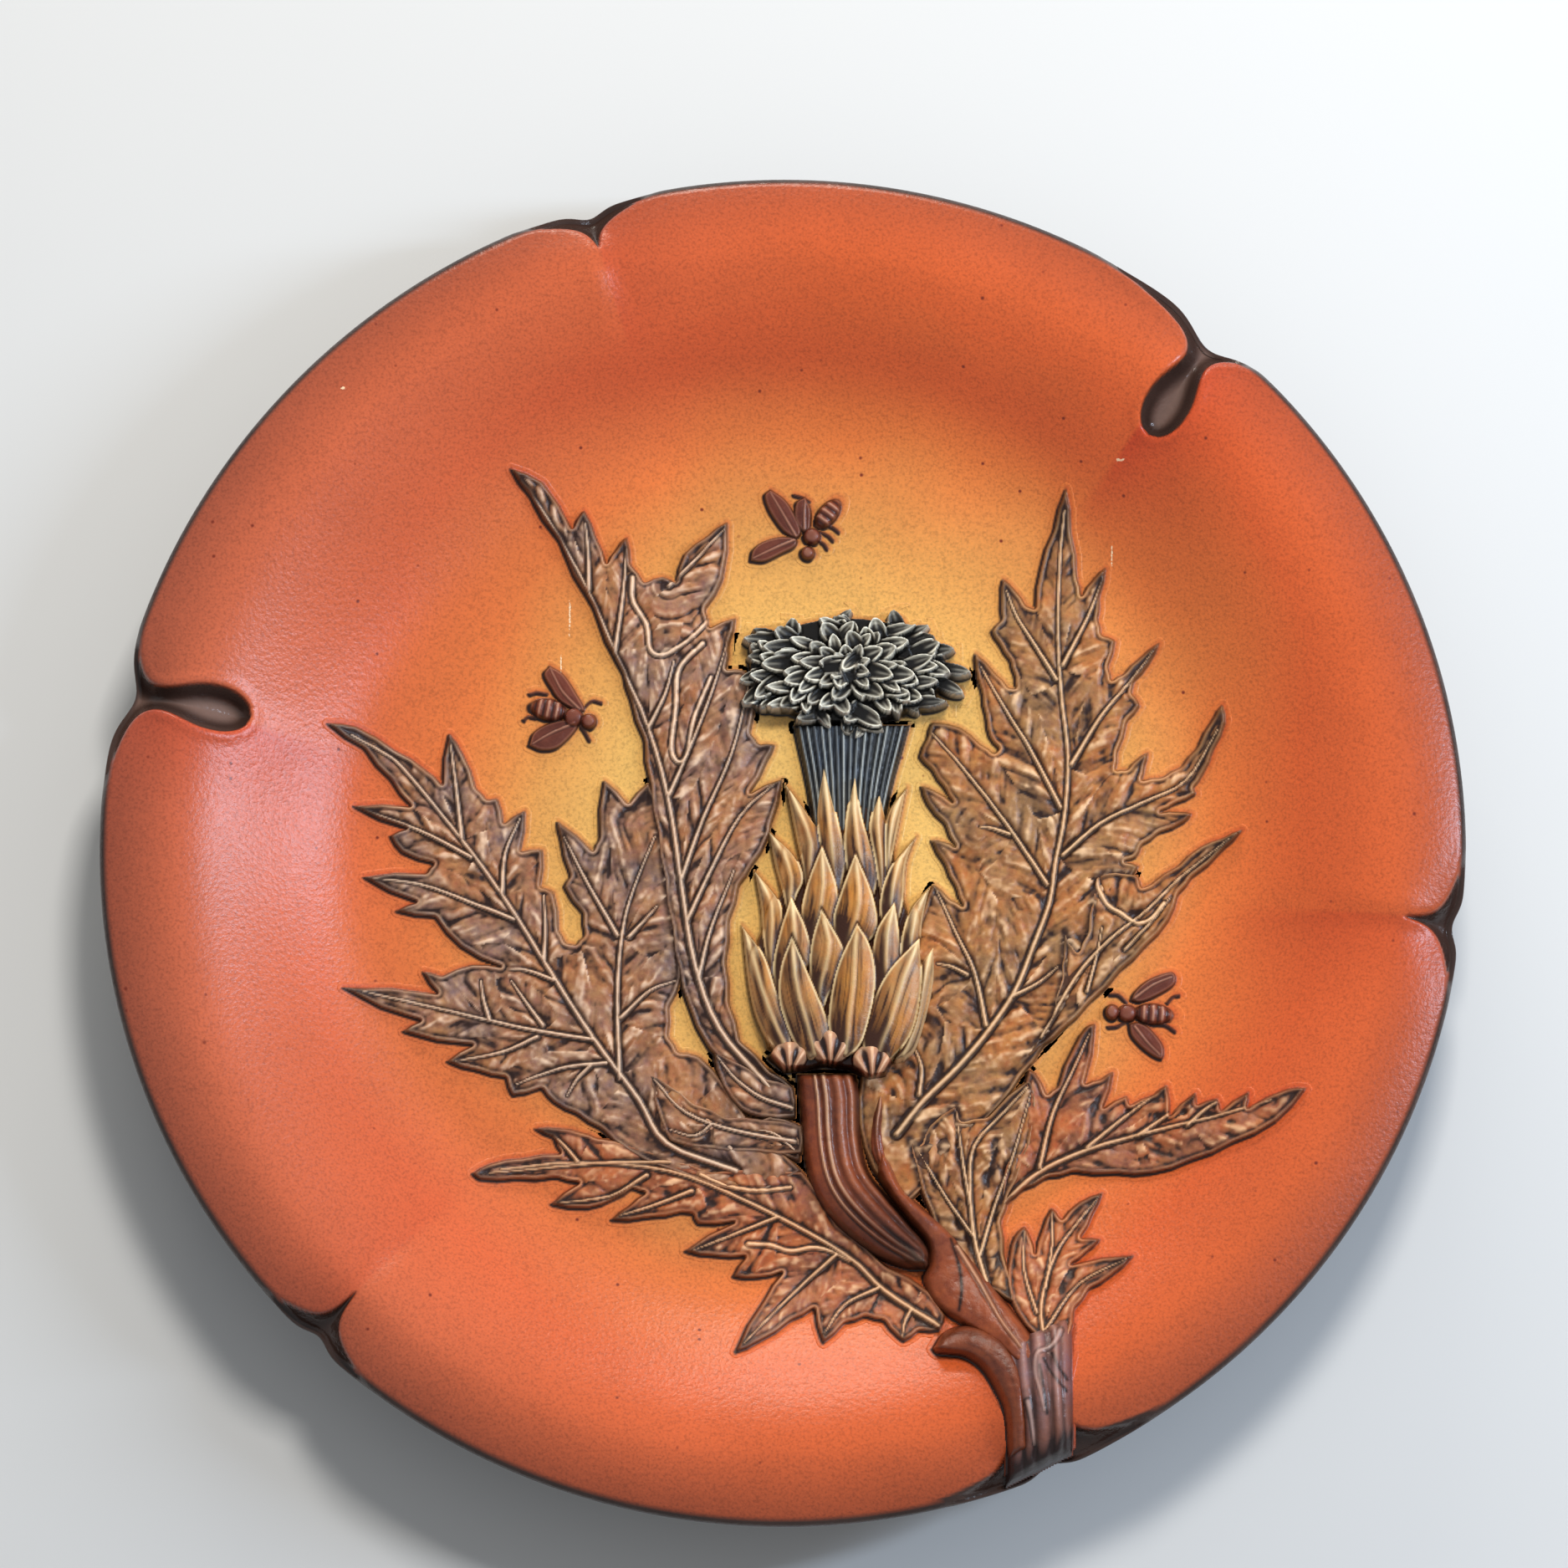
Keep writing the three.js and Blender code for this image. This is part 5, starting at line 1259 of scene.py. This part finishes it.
def shape_crown(ground):
    edge = depth_inside(ground["x"], ground["y"], crown_edge)
    ground["top"] += 4.2
    ground["dark"] += 1
    for number, (reach, place) in enumerate(floret_places()):
        foot, tip = on_dish(place, crown_height)
        along = tip - foot
        length = math.hypot(*along)
        along = along / length
        if length < floret_length:
            foot = tip - along * floret_length
            length = floret_length
        here = near(ground, [foot, tip], 2.6)
        dx, dy = ground["x"][here] - foot[0], ground["y"][here] - foot[1]
        u = (dx * along[0] + dy * along[1]) / length
        v = dx * -along[1] + dy * along[0]
        broad = 2.15 + 0.45 * math.sin(number * 2.9)
        half = broad * np.clip(1 - np.clip(u, 0, 1) ** 2.6, 0, 1) ** 0.8 * (0.72 + 0.5 * np.clip(u, 0, 1))
        inner = np.where((u > 0) & (u < 1), half - np.abs(v), -1 - 0 * u)
        inner = np.minimum(inner, (1 - u) * length * 0.8)
        edge[here] = np.maximum(edge[here], inner)
        cover = smooth(inner, -0.1, 0.15)
        rim = np.exp(-((inner - 0.3) / 0.24) ** 2) * smooth(u, 0.3, 0.6)
        ridge = np.exp(-(v / 0.28) ** 2) * smooth(u, 0.35, 0.6) * 0.5
        level = 5.0 + 4.0 * (1 - reach ** 2)
        lifted = level + 1.5 * np.clip(u, 0, 1) + 0.35 * math.sin(number * 4.3)
        lifted = lifted + 0.45 * rim + 0.3 * ridge - 0.6 * smooth(inner, 0.45, 1.0)
        gap = (inner <= 0.02) & (inner > -0.5) & (u > 0.25)
        bright = (0.66 + 0.34 * math.sin(number * 3.7)) * smooth(u, 0.25, 0.8)
        lay_over(ground, cover, here, top=lifted, pale=np.maximum(rim, 0.7 * ridge) * bright,
                 dark=0.8 * smooth(inner, 0.5, 1.0) + 0.9 * (1 - smooth(u, 0.25, 0.5)))
        ground["dark"][here] = np.where(gap, 1, ground["dark"][here])
        ground["pale"][here] = np.where(gap, ground["pale"][here] * 0.3, ground["pale"][here])
        ground["top"][here] = np.where(gap, ground["top"][here] - 0.25, ground["top"][here])
    ground["dark"] = np.clip(ground["dark"], 0, 1)
    close_edge(ground, edge, wiped=0.6)


def crown_outline(share):
    """The oval that holds so great a share of the crown."""
    turns = np.radians(np.arange(0, 360, 3))
    high = np.where(np.sin(turns) > 0, crown_half[1], crown_half[2])
    return on_dish(np.column_stack([crown_middle[0] + crown_half[0] * share * np.cos(turns),
                                    crown_middle[1] - high * share * np.sin(turns)]), crown_height * 0.6)


crown_edge = crown_outline(0.86)
raised_sheet("flower_crown", crown_outline(1.06), 0.25, shape_crown, crown_grey)

# The three bees: round striped bodies, veined wings and thread-thin legs, laid on the face round
# the flower and stained one even red-brown.
bee_brown = relief_finish("stained_bee", warm=(112, 52, 36), cool=(92, 44, 34), mossy=(132, 68, 46),
                          pale_tone=(200, 146, 118), dark_tone=(36, 14, 10), gloss=0.36)
# Of each part of a body: its middle, which way it points, and half its length and width.
bees = {
    "bee_above": {
        "wings": [[(921, 584), (914, 592), (918, 607), (926, 621), (938, 636), (952, 643), (958, 634),
                   (949, 612), (938, 596)],
                  [(897, 670), (900, 657), (912, 647), (934, 641), (952, 643), (951, 653), (936, 661),
                   (914, 671)],
                  [(963, 593), (952, 600), (950, 618), (958, 634), (968, 634), (970, 610)]],
        "veins": [[(952, 641), (935, 612), (921, 588)], [(950, 645), (925, 656), (901, 667)],
                  [(962, 632), (962, 612), (963, 597)]],
        "body": [((990, 614), (-20, 26), 22, 12), ((971, 641), (-20, 26), 11, 11),
                 ((966, 661), (-6, 16), 9, 9)],
        "legs": [[(984, 628), (995, 630), (1003, 636)], [(980, 636), (990, 640), (996, 646)],
                 [(977, 646), (985, 650), (989, 656)], [(950, 592), (960, 595), (968, 600)]],
    },
    "bee_left": {
        "wings": [[(657, 795), (650, 806), (658, 822), (670, 839), (692, 850), (699, 847), (690, 830),
                   (674, 806)],
                  [(632, 891), (639, 874), (662, 862), (690, 860), (689, 872), (668, 893), (648, 897)]],
        "veins": [[(693, 848), (672, 826), (658, 799)], [(686, 865), (660, 876), (637, 889)]],
        "body": [((656, 848), (44, 9), 23, 14), ((686, 857), (44, 9), 12, 12), ((704, 862), (44, 9), 10, 10)],
        "legs": [[(654, 830), (643, 828), (634, 830)], [(697, 848), (708, 838), (719, 840)],
                 [(640, 858), (632, 857), (627, 861)], [(694, 868), (700, 876), (705, 885)]],
    },
    "bee_right": {
        "wings": [[(1352, 1196), (1358, 1184), (1375, 1170), (1402, 1162), (1405, 1176), (1386, 1189),
                   (1365, 1198)],
                  [(1350, 1224), (1354, 1240), (1372, 1258), (1389, 1266), (1391, 1250), (1376, 1230),
                   (1362, 1222)]],
        "veins": [[(1357, 1193), (1378, 1178), (1401, 1168)], [(1357, 1227), (1371, 1245), (1387, 1261)]],
        "body": [((1379, 1212), (44, 2), 24, 13), ((1348, 1211), (44, 2), 12, 11),
                 ((1330, 1210), (44, 2), 9, 10)],
        "legs": [[(1347, 1199), (1338, 1190), (1328, 1189)], [(1345, 1222), (1336, 1227), (1326, 1228)],
                 [(1385, 1224), (1395, 1226), (1405, 1233)], [(1396, 1200), (1403, 1192), (1410, 1190)]],
    },
}
bee_standing = 1.6


def lay_bee(name, parts):
    wings = [curve_through(on_dish(points + points[:1], bee_standing)) for points in parts["wings"]]
    veins = [curve_through(on_dish(points, bee_standing)) for points in parts["veins"]]
    legs = [curve_through(on_dish(points, 0.5)) for points in parts["legs"]]
    body = []
    for (px, py), (dx, dy), long, wide in parts["body"]:
        middle, ahead = on_dish([(px, py), (px + dx, py + dy)], bee_standing)
        along = (ahead - middle) / math.hypot(*(ahead - middle))
        body.append((middle, along, long * picture_pixel, wide * picture_pixel))

    def shaping(ground):
        x, y = ground["x"], ground["y"]
        inside = np.full(len(x), -9.0)
        for path in legs:
            inside = np.maximum(inside, 0.26 - distance_to(x, y, path)[0])
        ground["top"] += 0.45
        ground["dark"] += 0.5
        for path in wings:
            depth = depth_inside(x, y, path)
            cover = smooth(depth, -0.1, 0.15)
            edge = np.exp(-((depth - 0.35) / 0.22) ** 2)
            lay_over(ground, cover, top=1.15 + 0.25 * edge + 0.2 * np.clip(depth, 0, 2), pale=0.25 * edge,
                     dark=0.25 * smooth(depth, 0.4, 0.9))
            inside = np.maximum(inside, depth)
        for path in veins:
            draw_line(ground, path, 0.26, lift=0.22, cut=0.18, light=0.5, stain=0.6, taper=0.4)
        for number, (middle, along, long, wide) in enumerate(body):
            u = ((x - middle[0]) * along[0] + (y - middle[1]) * along[1]) / long
            v = ((x - middle[0]) * -along[1] + (y - middle[1]) * along[0]) / wide
            out = np.hypot(u, v)
            cover = smooth(out, 1.05, 0.92)
            dome = np.sqrt(np.clip(1 - out ** 2, 0, 1))
            stripe = np.cos(u * 13.5) if number == 0 else -np.ones(len(x))
            light = smooth(stripe, 0.5, 1.0) * smooth(np.abs(v), 0.95, 0.6)
            tall = 1.9 if number == 0 else 1.5
            rounded = 1.1 + tall * dome + 0.22 * stripe * (number == 0)
            ground["top"] = np.where(cover > 0.5, rounded, ground["top"])
            lay_over(ground, cover, pale=0.55 * light, dark=0.8 * smooth(-stripe, 0.3, 0.9) * (number == 0))
            ground["dark"] = np.maximum(ground["dark"], 0.8 * np.exp(-((out - 1.0) / 0.12) ** 2))
            inside = np.maximum(inside, (1 - out) * wide)
        close_edge(ground, inside, wiped=0.3)

    trunks = [np.array([middle - long, middle + long]) for middle, along, long, wide in body]
    raised_sheet(name, np.vstack(wings + legs + trunks), 0.22, shaping, bee_brown)


for name, parts in bees.items():
    lay_bee(name, parts)

# The floor it lies on, and the light: a soft lamp over the dish that the glaze doesn't mirror, one
# low beyond its top and one to the right, which the rim throws back at its foot and its left.
floor_size = 6
deselected()
bpy.ops.mesh.primitive_plane_add(size=floor_size, location=(0, 0, 0))
floor = bpy.context.object
floor.name = "floor"
pale, tree, shader = new_finish("pale_floor")
shader.inputs["Base Color"].default_value = (0.66, 0.66, 0.65, 1)
shader.inputs["Roughness"].default_value = 0.9
floor.data.materials.append(pale)


def soft_lamp(name, turn, tilt, distance, width, depth, power, colour, mirrored=True):
    """An area lamp that looks at the dish, tilted so many degrees from straight above."""
    lamp = bpy.data.lights.new(name, "AREA")
    lamp.shape = "RECTANGLE"
    lamp.size = width
    lamp.size_y = depth
    lamp.energy = power
    lamp.color = colour
    holder = bpy.data.objects.new(name, lamp)
    holder.visible_glossy = mirrored
    bpy.context.collection.objects.link(holder)
    away = Vector((math.sin(math.radians(tilt)) * math.cos(math.radians(turn)),
                   math.sin(math.radians(tilt)) * math.sin(math.radians(turn)), math.cos(math.radians(tilt))))
    holder.location = away * distance
    holder.rotation_euler = away.to_track_quat("Z", "Y").to_euler()


soft_lamp("lamp_beyond", turn=96, tilt=72, distance=1.2, width=0.6, depth=0.1, power=5,
          colour=(1, 0.95, 0.84))
soft_lamp("lamp_over", turn=75, tilt=30, distance=1.2, width=0.25, depth=0.25, power=9.5,
          colour=(1, 0.97, 0.93), mirrored=False)
soft_lamp("lamp_right", turn=8, tilt=54, distance=1.1, width=0.1, depth=0.5, power=6.5,
          colour=(0.66, 0.8, 1))
room_light = 0.36
world = bpy.data.worlds.new("soft_room")
world.use_nodes = True
world.node_tree.nodes["Background"].inputs[0].default_value = (0.93, 0.96, 1, 1)
world.node_tree.nodes["Background"].inputs[1].default_value = room_light
bpy.context.scene.world = world
